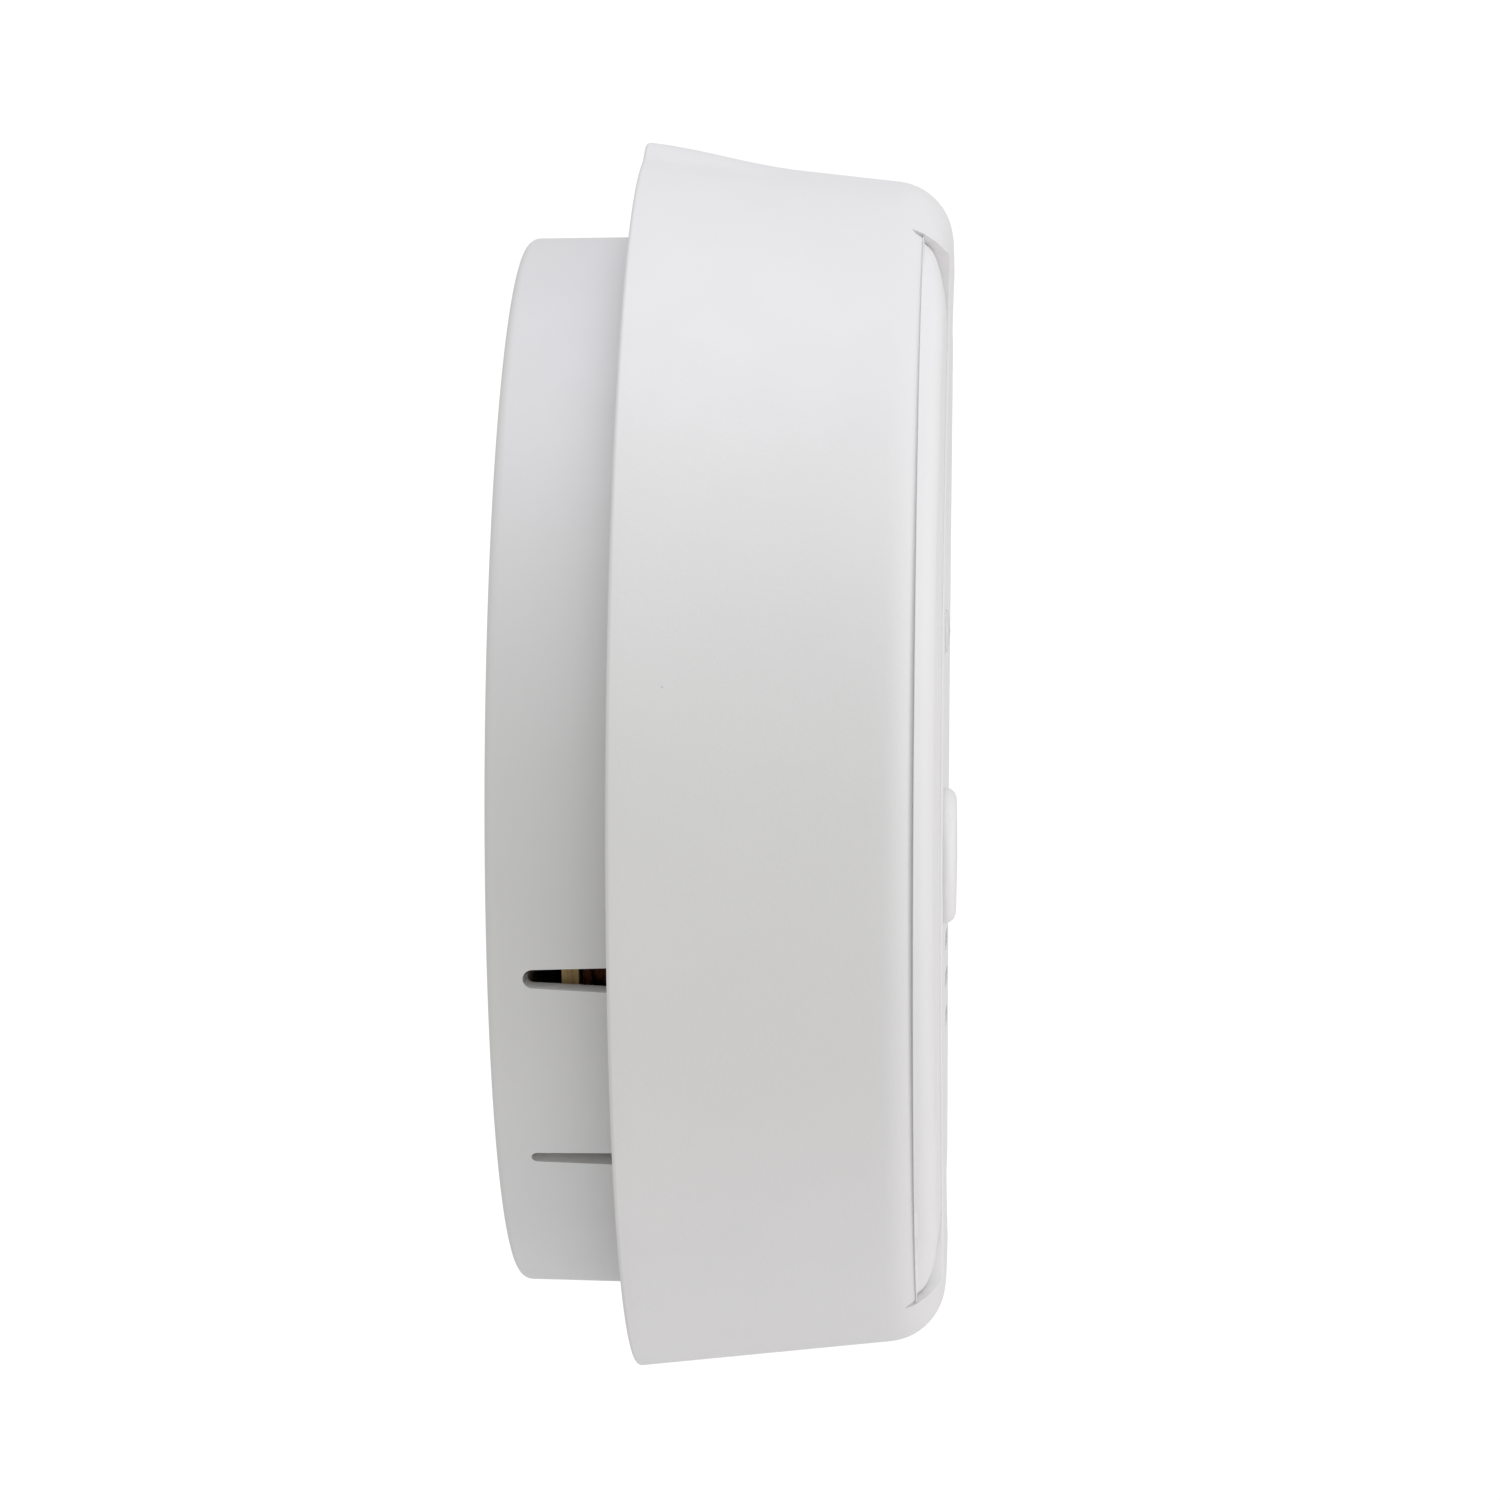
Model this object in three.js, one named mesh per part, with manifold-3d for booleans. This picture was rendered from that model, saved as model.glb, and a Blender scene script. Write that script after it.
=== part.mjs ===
// Domestic smoke alarm: twist-lock bracket, rear housing, and a hinged front cover with a finger lip.
// Millimetres. Inside this file every piece is placed by (across, up, out): "out" is the distance from
// the wall, "up" is vertical and "across" is horizontal. The exported group turns that into
// +X out from the wall, +Y across and +Z up.
import * as THREE from 'three';
import { mergeVertices } from 'three/addons/utils/BufferGeometryUtils.js';
import Module from 'manifold-3d';

const wasm = await Module();
wasm.setup();

// ---- driving dimensions ----
const GAP = 0.3; // clearance between pieces that touch on the real alarm
const WALL = 2.2; // cover wall thickness
const RIM_RADIUS = 60.6; // cover radius at its open rim
const RIM_OUT = 11.8; // rim plane, from the wall
const SHOULDER_OUT = 36.2; // where the cover wall starts to turn into the face
const SHOULDER_RADIUS = 6;
const SHOULDER_CENTRE = 52.2; // radius of the circle on which the shoulder arc is centred
const FACE_OUT = SHOULDER_OUT + SHOULDER_RADIUS;
const INNER_FACE = FACE_OUT - WALL;
const FACE_DISH = 0.55; // the face is lower at mid height than at its top and bottom
const LIP_HEIGHT = 1.1; // finger lip at the top of the rim
const LIP_LENGTH = 15.5;
const LIP_HALF_WIDTH = 12.5;

const HOUSING_RADIUS = 52.1; // at the wall; it opens out slightly towards the face
const HOUSING_INNER = 50.7;
const HOUSING_CORNER = 1.1; // rounding of its back edge
const HOUSING_FRONT = 31;
const FLOOR_BACK = 2.1;
const FLOOR_FRONT = 3.7;
const RECESS_RADIUS = 48.3; // recess in the housing's back that the bracket sits in
const BRACKET_RADIUS = 45;
const BRACKET_THICK = 1.8;
const TAB_HALF_ANGLE = 8; // degrees, bayonet tabs
const LIP_HALF_ANGLE = 8.5;
const TAB_ANGLES = [30, 150, 270];

const BOARD_BACK = 6.8;
const BOARD_FRONT = 8.4;
const BOARD_RADIUS = 49.3;
const ON_BOARD = BOARD_FRONT + GAP; // where board components start
const SCREW_SPOTS = [[-40, 10], [40, 10], [0, -43]];
const POST = { radius: 3, bore: 1.5, boardHole: 1.6 };
const SCREW = { shank: 1.1, head: 2.7, height: 1.5, crossArm: 1.5, crossHalf: 0.3, crossDepth: 0.7 };

const SCREW_SLOT = { radius: 33, width: 3.8, halfAngle: 14 }; // in the mounting bracket, in degrees
const BRACKET_WINDOW = { inner: 20, outer: 26, from: 25, to: 65 };
const VENT = { back: 3.4, front: 19, backHalf: 0.95, frontHalf: 1.6 };
const VENT_SLOTS = [[21, 1], [44.2, 0.66], [135.8, 0.66], [159, 1]]; // [degrees down, share of the width]
const SMOKE_WINDOW = { first: 10, last: 170, step: 16, hinge: 90, back: 20, front: 27, half: 4 };

const HINGE = { up: -55.3, out: 14, barrel: 1.5, bore: 0.95, pin: 0.6, half: 9, middle: 5, end: 9.3 };
const BUTTON = { across: 0, up: -9.4, radius: 6.8, proud: 1.25, flange: 1.4, stem: 2.5, stemEnd: 14 };
const FLANGE_BACK = INNER_FACE - 2.2; // flange behind the face that keeps the button in
const FLANGE_FRONT = INNER_FACE - 0.8;
const GUIDE = { back: 27.8, floor: 29, radius: 10, bore: 8.8 };
const SPRING = { radius: 5.2, wire: 0.4, turns: 5 };
const LIGHT = { across: 0, up: 13.1, radius: 2.2, proud: 0.35, flange: 1.2, pipe: 1.3, end: 14.3 };
const SWITCH_TOP = 12.2;
const CHAMBER = { across: -20, up: -19, radius: 16.5, vaneBack: 12.3, capBack: 24, top: 25.6 };
const HORN = { across: 22, up: -20, radius: 17.3, wall: 1.3, mouth: 6, top: 24.4, disc: 13 };
const BATTERY = { length: 48.5, width: 26.5, thick: 17.5, up: 30.1, back: 10.9, corner: 2.2 };
const TERMINAL = { apart: 6.35, positive: 2.9, negative: 3.9 }; // battery studs, from its centre line
const CLIP = { left: 27.8, right: 28.9, half: 3.2, halfThick: 3.6 }; // battery contacts
const LAMP = { flange: 1.9, flangeThick: 0.8, radius: 1.5, dome: 1.1, height: 4.7 };
const CHIP = { half: 3, low: -36.3, high: -26, thick: 3, legs: 4, pitch: 2.54, firstLeg: -35, legHalf: 0.3 };
const CAPACITORS = [
  { across: 33.5, up: 5, radius: 3.2, height: 9 },
  { across: -31, up: 6.5, radius: 2.6, height: 7 },
];
const PIEZO_CONTACTS = [[0, 13], [-9, -4], [6, -4]]; // from the middle of the horn
const CHOKE = { across: -42.5, up: -17.2, radius: 2.6, height: 5.4 };

const BAND = { half: 12.6, corner: 6.6, end: 50, flare: 7.4 }; // raised band between the inserts
const INSERT_BACK = 39.6; // floor of an insert's place
const INSERT_DROP = 0.2; // an insert lies this much below the raised band
const INSERT_EDGE = { centre: 54.3, radius: 2.7 }; // its rounded outer edge
const INSERT_NOSE = { length: 8.2, drop: 2.5 }; // how its top and bottom ends fall away
const GRILLE = { across: 31, up: -20, radius: 11.5, pitch: 4, half: 0.8 }; // sound slots

const LARGE = 72; // segments round the big shells
const MEDIUM = 32;
const SMALL = 12;

// ---- colours ----
const WHITE_SHELL = { color: 0xe9e8e8, roughness: 0.55, metalness: 0 };
const WHITE_TRIM = { color: 0xefeeee, roughness: 0.5, metalness: 0 };
const BRACKET_PLASTIC = { color: 0xdedddb, roughness: 0.6, metalness: 0 };
const BOARD = { color: 0xb08a4e, roughness: 0.6, metalness: 0 };
const BLACK_PLASTIC = { color: 0x161616, roughness: 0.6, metalness: 0 };
const BROWN_COIL = { color: 0x4a2314, roughness: 0.5, metalness: 0 };
const STEEL = { color: 0xb8b8ba, roughness: 0.3, metalness: 1 };
const BRASS = { color: 0xc09a4a, roughness: 0.35, metalness: 1 };
const CLEAR = { color: 0xe6ece8, roughness: 0.15, metalness: 0 };
const RED_LAMP = { color: 0xb02018, roughness: 0.2, metalness: 0 };
const BATTERY_JACKET = { color: 0x2c2f36, roughness: 0.4, metalness: 0 };
const SCREEN = { color: 0x33332f, roughness: 0.6, metalness: 0.3 };

// ---- solids ----
const radians = THREE.MathUtils.degToRad;
const FACE_UP = new THREE.Matrix4().makeBasis(
  new THREE.Vector3(0, 1, 0),
  new THREE.Vector3(0, 0, 1),
  new THREE.Vector3(1, 0, 0),
);

function signedVolume(points, triangles) {
  const corner = (index) => new THREE.Vector3().fromArray(points, 3 * index);
  let total = 0;
  for (let i = 0; i < triangles.length; i += 3) {
    const [a, b, c] = [corner(triangles[i]), corner(triangles[i + 1]), corner(triangles[i + 2])];
    total += a.dot(b.cross(c));
  }
  return total;
}

// A closed three.js geometry as a manifold solid with its faces pointing out.
function solid(geometry) {
  const bare = geometry.clone();
  bare.deleteAttribute('normal');
  bare.deleteAttribute('uv');
  const merged = mergeVertices(bare, 1e-4);
  const points = new Float32Array(merged.attributes.position.array);
  const triangles = [];
  for (let i = 0; i < merged.index.count; i += 3) {
    const [a, b, c] = [0, 1, 2].map((k) => merged.index.getX(i + k));
    if (a !== b && b !== c && c !== a) triangles.push(a, b, c);
  }
  if (signedVolume(points, triangles) < 0) triangles.reverse();
  const mesh = new wasm.Mesh({
    numProp: 3,
    vertProperties: points,
    triVerts: new Uint32Array(triangles),
  });
  return new wasm.Manifold(mesh);
}

const join = (...solids) => solids.reduce((whole, piece) => whole.add(piece));
const cut = (whole, ...tools) => tools.reduce((rest, tool) => rest.subtract(tool), whole);

// A solid of revolution about the outward axis, from [radius, out] points.
function turnedGeometry(profile, segments) {
  const points = profile.map(([radius, out]) => new THREE.Vector2(radius, out));
  if (profile[0][0] > 0) points.push(points[0].clone());
  return new THREE.LatheGeometry(points, segments).rotateX(Math.PI / 2);
}

function turned(profile, segments = MEDIUM, across = 0, up = 0) {
  return solid(turnedGeometry(profile, segments).translate(across, up, 0));
}

function rod(across, up, radius, from, to, segments = SMALL) {
  const geometry = new THREE.CylinderGeometry(radius, radius, to - from, segments);
  geometry.rotateX(Math.PI / 2).translate(across, up, (from + to) / 2);
  return solid(geometry);
}

// A cylinder lying across, for the hinge.
function crossRod(up, out, radius, from, to, segments = SMALL) {
  const geometry = new THREE.CylinderGeometry(radius, radius, to - from, segments);
  geometry.rotateZ(Math.PI / 2).translate((from + to) / 2, up, out);
  return solid(geometry);
}

function block([left, right], [low, high], [back, front]) {
  const geometry = new THREE.BoxGeometry(right - left, high - low, front - back);
  geometry.translate((left + right) / 2, (low + high) / 2, (back + front) / 2);
  return solid(geometry);
}

function prism(shape, back, front, curveSegments = 5) {
  const options = { depth: front - back, bevelEnabled: false, curveSegments };
  return solid(new THREE.ExtrudeGeometry(shape, options).translate(0, 0, back));
}

function circle(across, up, radius) {
  return new THREE.Shape().absarc(across, up, radius, 0, 2 * Math.PI);
}

// Part of a flat ring between two angles in degrees, counted from +across towards +up.
function ringPart(inner, outer, fromDegrees, toDegrees) {
  const shape = new THREE.Shape();
  shape.absarc(0, 0, outer, radians(fromDegrees), radians(toDegrees), false);
  shape.absarc(0, 0, inner, radians(toDegrees), radians(fromDegrees), true);
  return shape;
}

function roundedRectangle(width, height, corner) {
  const [x, y] = [width / 2 - corner, height / 2 - corner];
  const shape = new THREE.Shape();
  shape.absarc(x, y, corner, 0, Math.PI / 2);
  shape.absarc(-x, y, corner, Math.PI / 2, Math.PI);
  shape.absarc(-x, -y, corner, Math.PI, 1.5 * Math.PI);
  shape.absarc(x, -y, corner, 1.5 * Math.PI, 2 * Math.PI);
  return shape;
}

// A shape drawn as (out, sideways), pushed along a radius: angle 0 is the near side, growing downwards.
function radialPrism(shape, degreesDown, from, to) {
  const options = { depth: to - from, bevelEnabled: false, curveSegments: 6 };
  const geometry = new THREE.ExtrudeGeometry(shape, options).translate(0, 0, from);
  geometry.applyMatrix4(new THREE.Matrix4().makeBasis(
    new THREE.Vector3(0, 0, 1),
    new THREE.Vector3(0, 1, 0),
    new THREE.Vector3(-1, 0, 0),
  ));
  return solid(geometry.rotateZ(radians(degreesDown)));
}

// ---- the finished group ----
const alarm = new THREE.Group();
alarm.name = 'smoke_alarm';
alarm.quaternion.setFromRotationMatrix(FACE_UP);

function place(name, piece, material) {
  const { numProp, vertProperties, triVerts } = piece.getMesh();
  const geometry = new THREE.BufferGeometry();
  geometry.setAttribute('position', new THREE.BufferAttribute(vertProperties, numProp));
  geometry.setIndex(new THREE.BufferAttribute(triVerts, 1));
  geometry.computeVertexNormals();
  const mesh = new THREE.Mesh(geometry, new THREE.MeshStandardMaterial(material));
  mesh.name = name;
  alarm.add(mesh);
}

// ---- mounting bracket ----
function mountingBracket() {
  const profile = [[0, 0], [BRACKET_RADIUS, 0], [BRACKET_RADIUS, BRACKET_THICK], [0, BRACKET_THICK]];
  let plate = turned(profile, LARGE);
  for (const angle of TAB_ANGLES) {
    const [start, end] = [angle - TAB_HALF_ANGLE, angle + TAB_HALF_ANGLE];
    const tab = ringPart(BRACKET_RADIUS - 1, RECESS_RADIUS - 0.4, start, end);
    plate = plate.add(prism(tab, 1, BRACKET_THICK));
  }
  const { radius, width, halfAngle } = SCREW_SLOT;
  const { inner, outer, from, to } = BRACKET_WINDOW;
  for (const angle of [0, 90, 180, 270]) {
    const slot = ringPart(radius - width / 2, radius + width / 2, angle - halfAngle, angle + halfAngle);
    const window = ringPart(inner, outer, angle + from, angle + to);
    plate = cut(plate, prism(slot, -1, BRACKET_THICK + 1), prism(window, -1, BRACKET_THICK + 1));
  }
  return plate;
}

// ---- rear housing ----
function housingShell() {
  return turned([
    [0, FLOOR_BACK],
    [RECESS_RADIUS, FLOOR_BACK],
    [RECESS_RADIUS, 0],
    [HOUSING_RADIUS - HOUSING_CORNER, 0],
    [HOUSING_RADIUS - HOUSING_CORNER / 2, HOUSING_CORNER * 0.134],
    [HOUSING_RADIUS - HOUSING_CORNER * 0.134, HOUSING_CORNER / 2],
    [HOUSING_RADIUS, HOUSING_CORNER],
    [HOUSING_RADIUS + 0.2, RIM_OUT],
    [HOUSING_RADIUS + 0.4, HOUSING_FRONT],
    [HOUSING_INNER + 0.4, HOUSING_FRONT],
    [HOUSING_INNER, FLOOR_FRONT],
    [0, FLOOR_FRONT],
  ], LARGE);
}

// A vent slot, round at its back end and slightly wider towards the face.
function ventSlot(degreesDown, share) {
  const { back, front } = VENT;
  const [backHalf, frontHalf] = [VENT.backHalf * share, VENT.frontHalf * share];
  const shape = new THREE.Shape();
  shape.absarc(back + backHalf, 0, backHalf, Math.PI / 2, 1.5 * Math.PI);
  shape.lineTo(front, -frontHalf);
  shape.lineTo(front, frontHalf);
  return radialPrism(shape, degreesDown, HOUSING_INNER - 3, HOUSING_RADIUS + 3);
}

function smokeWindow(degreesDown) {
  const { back, front, half } = SMOKE_WINDOW;
  const corners = [[back, -half], [front, -half], [front, half], [back, half]];
  const shape = new THREE.Shape(corners.map(([x, y]) => new THREE.Vector2(x, y)));
  return radialPrism(shape, degreesDown, HOUSING_INNER - 3, HOUSING_RADIUS + 3);
}

function hingeKnuckle(from, to, wallSide) {
  const { up, out, barrel } = HINGE;
  const web = block([from, to], [Math.min(up, wallSide), Math.max(up, wallSide)], [out - 1.1, out + barrel]);
  return join(crossRod(up, out, barrel, from, to), web);
}

function rearHousing() {
  let housing = housingShell();
  for (const angle of TAB_ANGLES) {
    const [inner, outer] = [RECESS_RADIUS - 2.1, RECESS_RADIUS + 0.5];
    const lip = ringPart(inner, outer, angle - LIP_HALF_ANGLE, angle + LIP_HALF_ANGLE);
    const stopFrom = angle + TAB_HALF_ANGLE + 0.5;
    const stop = ringPart(inner, outer, stopFrom, stopFrom + 2.5);
    housing = join(housing, prism(lip, 0, 0.7), prism(stop, 0, FLOOR_BACK + 0.2));
  }
  for (const [across, up] of SCREW_SPOTS) {
    housing = housing.add(rod(across, up, POST.radius, FLOOR_FRONT - 0.5, BOARD_BACK - GAP));
    housing = housing.subtract(rod(across, up, POST.bore, FLOOR_FRONT - 0.4, BOARD_BACK));
  }
  for (const [degreesDown, share] of VENT_SLOTS) {
    housing = housing.subtract(ventSlot(degreesDown, share));
  }
  const { first, last, step, hinge } = SMOKE_WINDOW;
  for (let degreesDown = first; degreesDown <= last; degreesDown += step) {
    if (degreesDown !== hinge) housing = housing.subtract(smokeWindow(degreesDown));
  }
  const { up, out, bore, middle } = HINGE;
  housing = housing.add(hingeKnuckle(-middle, middle, -HOUSING_RADIUS + 1));
  return housing.subtract(crossRod(up, out, bore, -middle - 1, middle + 1));
}

// ---- front cover ----
// The finger lip: full height on the rim at the top, fading along the wall and to both sides.
function lipAt(across, up, out) {
  if (up < 0 || out > RIM_OUT + LIP_LENGTH) return 0;
  const along = 0.5 * (1 + Math.cos(Math.PI * (out - RIM_OUT) / LIP_LENGTH));
  const sideways = THREE.MathUtils.smoothstep(LIP_HALF_WIDTH - Math.abs(across), 0, 6);
  return LIP_HEIGHT * along * sideways;
}

function coverOutside() {
  const wallRadius = (out) => THREE.MathUtils.mapLinear(
    out,
    RIM_OUT,
    SHOULDER_OUT,
    RIM_RADIUS,
    SHOULDER_CENTRE + SHOULDER_RADIUS,
  );
  const profile = [[0, RIM_OUT], [RIM_RADIUS - 0.5, RIM_OUT]];
  for (const along of [0.5, 4, 7, 10, 13, 16]) {
    profile.push([wallRadius(RIM_OUT + along), RIM_OUT + along]);
  }
  for (let step = 0; step <= 6; step += 1) {
    const angle = radians(15 * step);
    const radius = SHOULDER_CENTRE + SHOULDER_RADIUS * Math.cos(angle);
    profile.push([radius, SHOULDER_OUT + SHOULDER_RADIUS * Math.sin(angle)]);
  }
  profile.push([0, FACE_OUT]);
  const geometry = turnedGeometry(profile, LARGE);
  const points = geometry.attributes.position;
  for (let i = 0; i < points.count; i += 1) {
    const [across, up, out] = [points.getX(i), points.getY(i), points.getZ(i)];
    const radius = Math.hypot(across, up);
    if (radius < SHOULDER_CENTRE) continue;
    const scale = 1 + lipAt(across, up, out) / radius;
    points.setXY(i, across * scale, up * scale);
  }
  return solid(geometry);
}

// The place of an insert: straight beside the raised band, with a corner that turns outwards at
// both ends and a small flare on the shoulder. Side -1 is the near side of the face, +1 the far side.
function insertPlace(side, back, front, inset) {
  const { half, corner, end, flare } = BAND;
  const [across, inner, outer] = [half + corner, corner - inset, flare + inset];
  const shape = new THREE.Shape();
  shape.moveTo(half + inset, 0);
  shape.absarc(across, end - corner, inner, Math.PI, Math.PI / 2, true);
  shape.absarc(across, end + flare, outer, -Math.PI / 2, 0, false);
  shape.lineTo(RIM_RADIUS + 1, end + flare);
  shape.lineTo(RIM_RADIUS + 1, -end - flare);
  shape.absarc(across, -end - flare, outer, 0, Math.PI / 2, false);
  shape.absarc(across, -end + corner, inner, -Math.PI / 2, -Math.PI, true);
  const place = prism(shape, back, front, 8).rotate([0, 0, side > 0 ? 0 : 180]);
  return place.intersect(rod(0, 0, RIM_RADIUS, back, front, LARGE));
}

function coverCavity() {
  const inner = SHOULDER_RADIUS - WALL;
  const profile = [[0, RIM_OUT - 1], [RIM_RADIUS - WALL, RIM_OUT - 1]];
  for (let step = 0; step <= 4; step += 1) {
    const angle = radians(22.5 * step);
    profile.push([SHOULDER_CENTRE + inner * Math.cos(angle), SHOULDER_OUT + inner * Math.sin(angle)]);
  }
  profile.push([0, INNER_FACE]);
  const shelves = [-1, 1].map((side) => insertPlace(side, INSERT_BACK - WALL, FACE_OUT, -WALL));
  return cut(turned(profile, LARGE), ...shelves);
}

// Everything in front of the slightly dished face, or of a level below it given by lower(up).
function dishCutter(lower = () => 0) {
  const reach = 64;
  const steps = 32;
  const outline = [new THREE.Vector2(reach, FACE_OUT + 5), new THREE.Vector2(-reach, FACE_OUT + 5)];
  for (let step = 0; step <= steps; step += 1) {
    const up = reach * (2 * step / steps - 1);
    const dish = FACE_DISH * (1 - (up / SHOULDER_CENTRE) ** 2);
    outline.push(new THREE.Vector2(up, FACE_OUT - dish - lower(up)));
  }
  const options = { depth: 2 * reach, bevelEnabled: false };
  const geometry = new THREE.ExtrudeGeometry(new THREE.Shape(outline), options);
  return solid(geometry.translate(0, 0, -reach).applyMatrix4(FACE_UP));
}

// Level sound slots that fill a circle of the far insert and the cover behind it.
function soundSlots() {
  const { across, up, radius, pitch, half } = GRILLE;
  return [-2, -1, 0, 1, 2].map((row) => {
    const height = up + row * pitch;
    const reach = Math.sqrt(radius ** 2 - (row * pitch) ** 2) - half;
    const shape = new THREE.Shape();
    shape.absarc(across + reach, height, half, -Math.PI / 2, Math.PI / 2);
    shape.absarc(across - reach, height, half, Math.PI / 2, 1.5 * Math.PI);
    return prism(shape, INSERT_BACK - WALL - 1, FACE_OUT + 1);
  });
}

function frontCover() {
  const { up, out, bore, middle, end } = HINGE;
  const shell = coverOutside().subtract(coverCavity());
  const knuckles = [-1, 1].map((side) => {
    const ends = [side * (middle + GAP), side * end].sort((a, b) => a - b);
    return hingeKnuckle(...ends, -RIM_RADIUS + WALL - 0.4);
  });
  const topRib = block([-6, 6], [54.3, 57.4], [20, SHOULDER_OUT]);
  return cut(
    join(shell, ...knuckles, topRib),
    dishCutter(),
    ...[-1, 1].map((side) => insertPlace(side, INSERT_BACK, FACE_OUT + 1, 0)),
    crossRod(up, out, bore, -end - 0.7, end + 0.7),
    rod(BUTTON.across, BUTTON.up, BUTTON.radius + GAP + 0.05, FACE_OUT - 5, FACE_OUT + 1, MEDIUM),
    rod(LIGHT.across, LIGHT.up, LIGHT.radius + GAP, FACE_OUT - 5, FACE_OUT + 1, MEDIUM),
    ...soundSlots(),
  );
}

// How far an insert lies below the dished face: a small drop, and more towards its ends.
function insertDrop(up) {
  const { length, drop } = INSERT_NOSE;
  const beyond = THREE.MathUtils.clamp((Math.abs(up) - BAND.end) / length + 1, 0, 1);
  return INSERT_DROP + drop * (1 - Math.sqrt(1 - beyond ** 2));
}

function faceInsert(side) {
  const { centre, radius } = INSERT_EDGE;
  const edgeCentre = FACE_OUT - INSERT_DROP - radius;
  const profile = [[0, INSERT_BACK + GAP]];
  for (const degrees of [13, 38, 64, 90]) {
    const angle = radians(degrees);
    profile.push([centre + radius * Math.cos(angle), edgeCentre + radius * Math.sin(angle)]);
  }
  profile.push([0, FACE_OUT - INSERT_DROP]);
  const end = BAND.end - GAP;
  const place = insertPlace(side, INSERT_BACK, FACE_OUT, GAP)
    .intersect(block([-RIM_RADIUS, RIM_RADIUS], [-end, end], [INSERT_BACK, FACE_OUT]));
  const panel = turned(profile, LARGE).intersect(place).subtract(dishCutter(insertDrop));
  return side > 0 ? cut(panel, ...soundSlots()) : panel;
}

// ---- test button ----
function testButton() {
  const { across, up, radius, proud, flange, stem, stemEnd } = BUTTON;
  const top = FACE_OUT - FACE_DISH + proud;
  return turned([
    [0, stemEnd],
    [stem, stemEnd],
    [stem, FLANGE_BACK],
    [radius + flange, FLANGE_BACK],
    [radius + flange, FLANGE_FRONT],
    [radius, FLANGE_FRONT],
    [radius, top - 1.1],
    [radius - 0.3, top - 0.35],
    [radius - 1.1, top],
    [0, top],
  ], MEDIUM, across, up);
}

// Cup behind the face that guides the stem and holds the spring.
function buttonGuide() {
  const { across, up, stem } = BUTTON;
  const { back, floor, radius, bore } = GUIDE;
  const front = INNER_FACE - 0.7;
  return turned([
    [stem + GAP, back],
    [radius, back],
    [radius, front],
    [bore, front],
    [bore, floor],
    [stem + GAP, floor],
  ], MEDIUM, across, up);
}

class Helix extends THREE.Curve {
  constructor(radius, turns, back, front) {
    super();
    Object.assign(this, { radius, turns, back, front });
  }

  getPoint(t, target = new THREE.Vector3()) {
    const angle = 2 * Math.PI * this.turns * t;
    const out = THREE.MathUtils.lerp(this.back, this.front, t);
    return target.set(this.radius * Math.cos(angle), this.radius * Math.sin(angle), out);
  }
}

function buttonSpring() {
  const { radius, wire, turns } = SPRING;
  const path = new Helix(radius, turns, GUIDE.floor + wire + GAP, FLANGE_BACK - wire - GAP);
  const options = { steps: turns * 12, extrudePath: path, bevelEnabled: false, curveSegments: 3 };
  const coil = new THREE.ExtrudeGeometry(circle(0, 0, wire), options);
  return solid(coil.translate(BUTTON.across, BUTTON.up, 0));
}

// ---- light pipe ----
function lightPipe() {
  const { across, up, radius, proud, flange, pipe, end } = LIGHT;
  const top = FACE_OUT - FACE_DISH + proud;
  return turned([
    [0, end],
    [pipe, end],
    [pipe, FLANGE_FRONT - 2],
    [radius + flange, FLANGE_FRONT - 2],
    [radius + flange, FLANGE_FRONT],
    [radius, FLANGE_FRONT],
    [radius, top - 0.5],
    [radius - 0.7, top],
    [0, top],
  ], MEDIUM, across, up);
}

// ---- circuit board and what stands on it ----
function circuitBoard() {
  const board = turned([
    [0, BOARD_BACK],
    [BOARD_RADIUS, BOARD_BACK],
    [BOARD_RADIUS, BOARD_FRONT],
    [0, BOARD_FRONT],
  ], LARGE);
  const [from, to] = [BOARD_BACK - 1, BOARD_FRONT + 1];
  const holes = SCREW_SPOTS.map(([across, up]) => rod(across, up, POST.boardHole, from, to));
  return cut(board, ...holes);
}

function boardScrew(across, up) {
  const { shank, head, height, crossArm, crossHalf, crossDepth } = SCREW;
  const top = ON_BOARD + height;
  const screw = turned([
    [0, FLOOR_FRONT + 0.3],
    [shank, FLOOR_FRONT + 0.6],
    [shank, ON_BOARD],
    [head, ON_BOARD],
    [head - 0.2, top - 0.4],
    [head - 0.9, top],
    [0, top],
  ], SMALL, across, up);
  const arm = (alongAcross, alongUp) => block(
    [across - alongAcross, across + alongAcross],
    [up - alongUp, up + alongUp],
    [top - crossDepth, top + 1],
  );
  return cut(screw, arm(crossArm, crossHalf), arm(crossHalf, crossArm));
}

function chamberBase() {
  const { across, up, radius, vaneBack } = CHAMBER;
  return turned([
    [0, ON_BOARD],
    [radius, ON_BOARD],
    [radius, vaneBack - 1],
    [radius - 2.5, vaneBack - 1],
    [radius - 2.5, vaneBack - GAP],
    [0, vaneBack - GAP],
  ], MEDIUM, across, up);
}

// Lid of the sensing chamber with the ring of angled vanes that keeps light out.
function chamberCap() {
  const { across, up, radius, vaneBack, capBack, top } = CHAMBER;
  const vaneCount = 20;
  const lid = [[0, capBack], [radius, capBack], [radius, top - 0.5], [radius - 0.5, top], [0, top]];
  let cap = turned(lid, MEDIUM);
  for (let i = 0; i < vaneCount; i += 1) {
    const geometry = new THREE.BoxGeometry(0.8, 4, capBack - vaneBack + 0.4);
    geometry.rotateZ(radians(50)).translate(radius - 2.3, 0, (capBack + vaneBack) / 2 + 0.2);
    cap = cap.add(solid(geometry.rotateZ(2 * Math.PI * i / vaneCount)));
  }
  return cap.translate([across, up, 0]);
}

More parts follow.
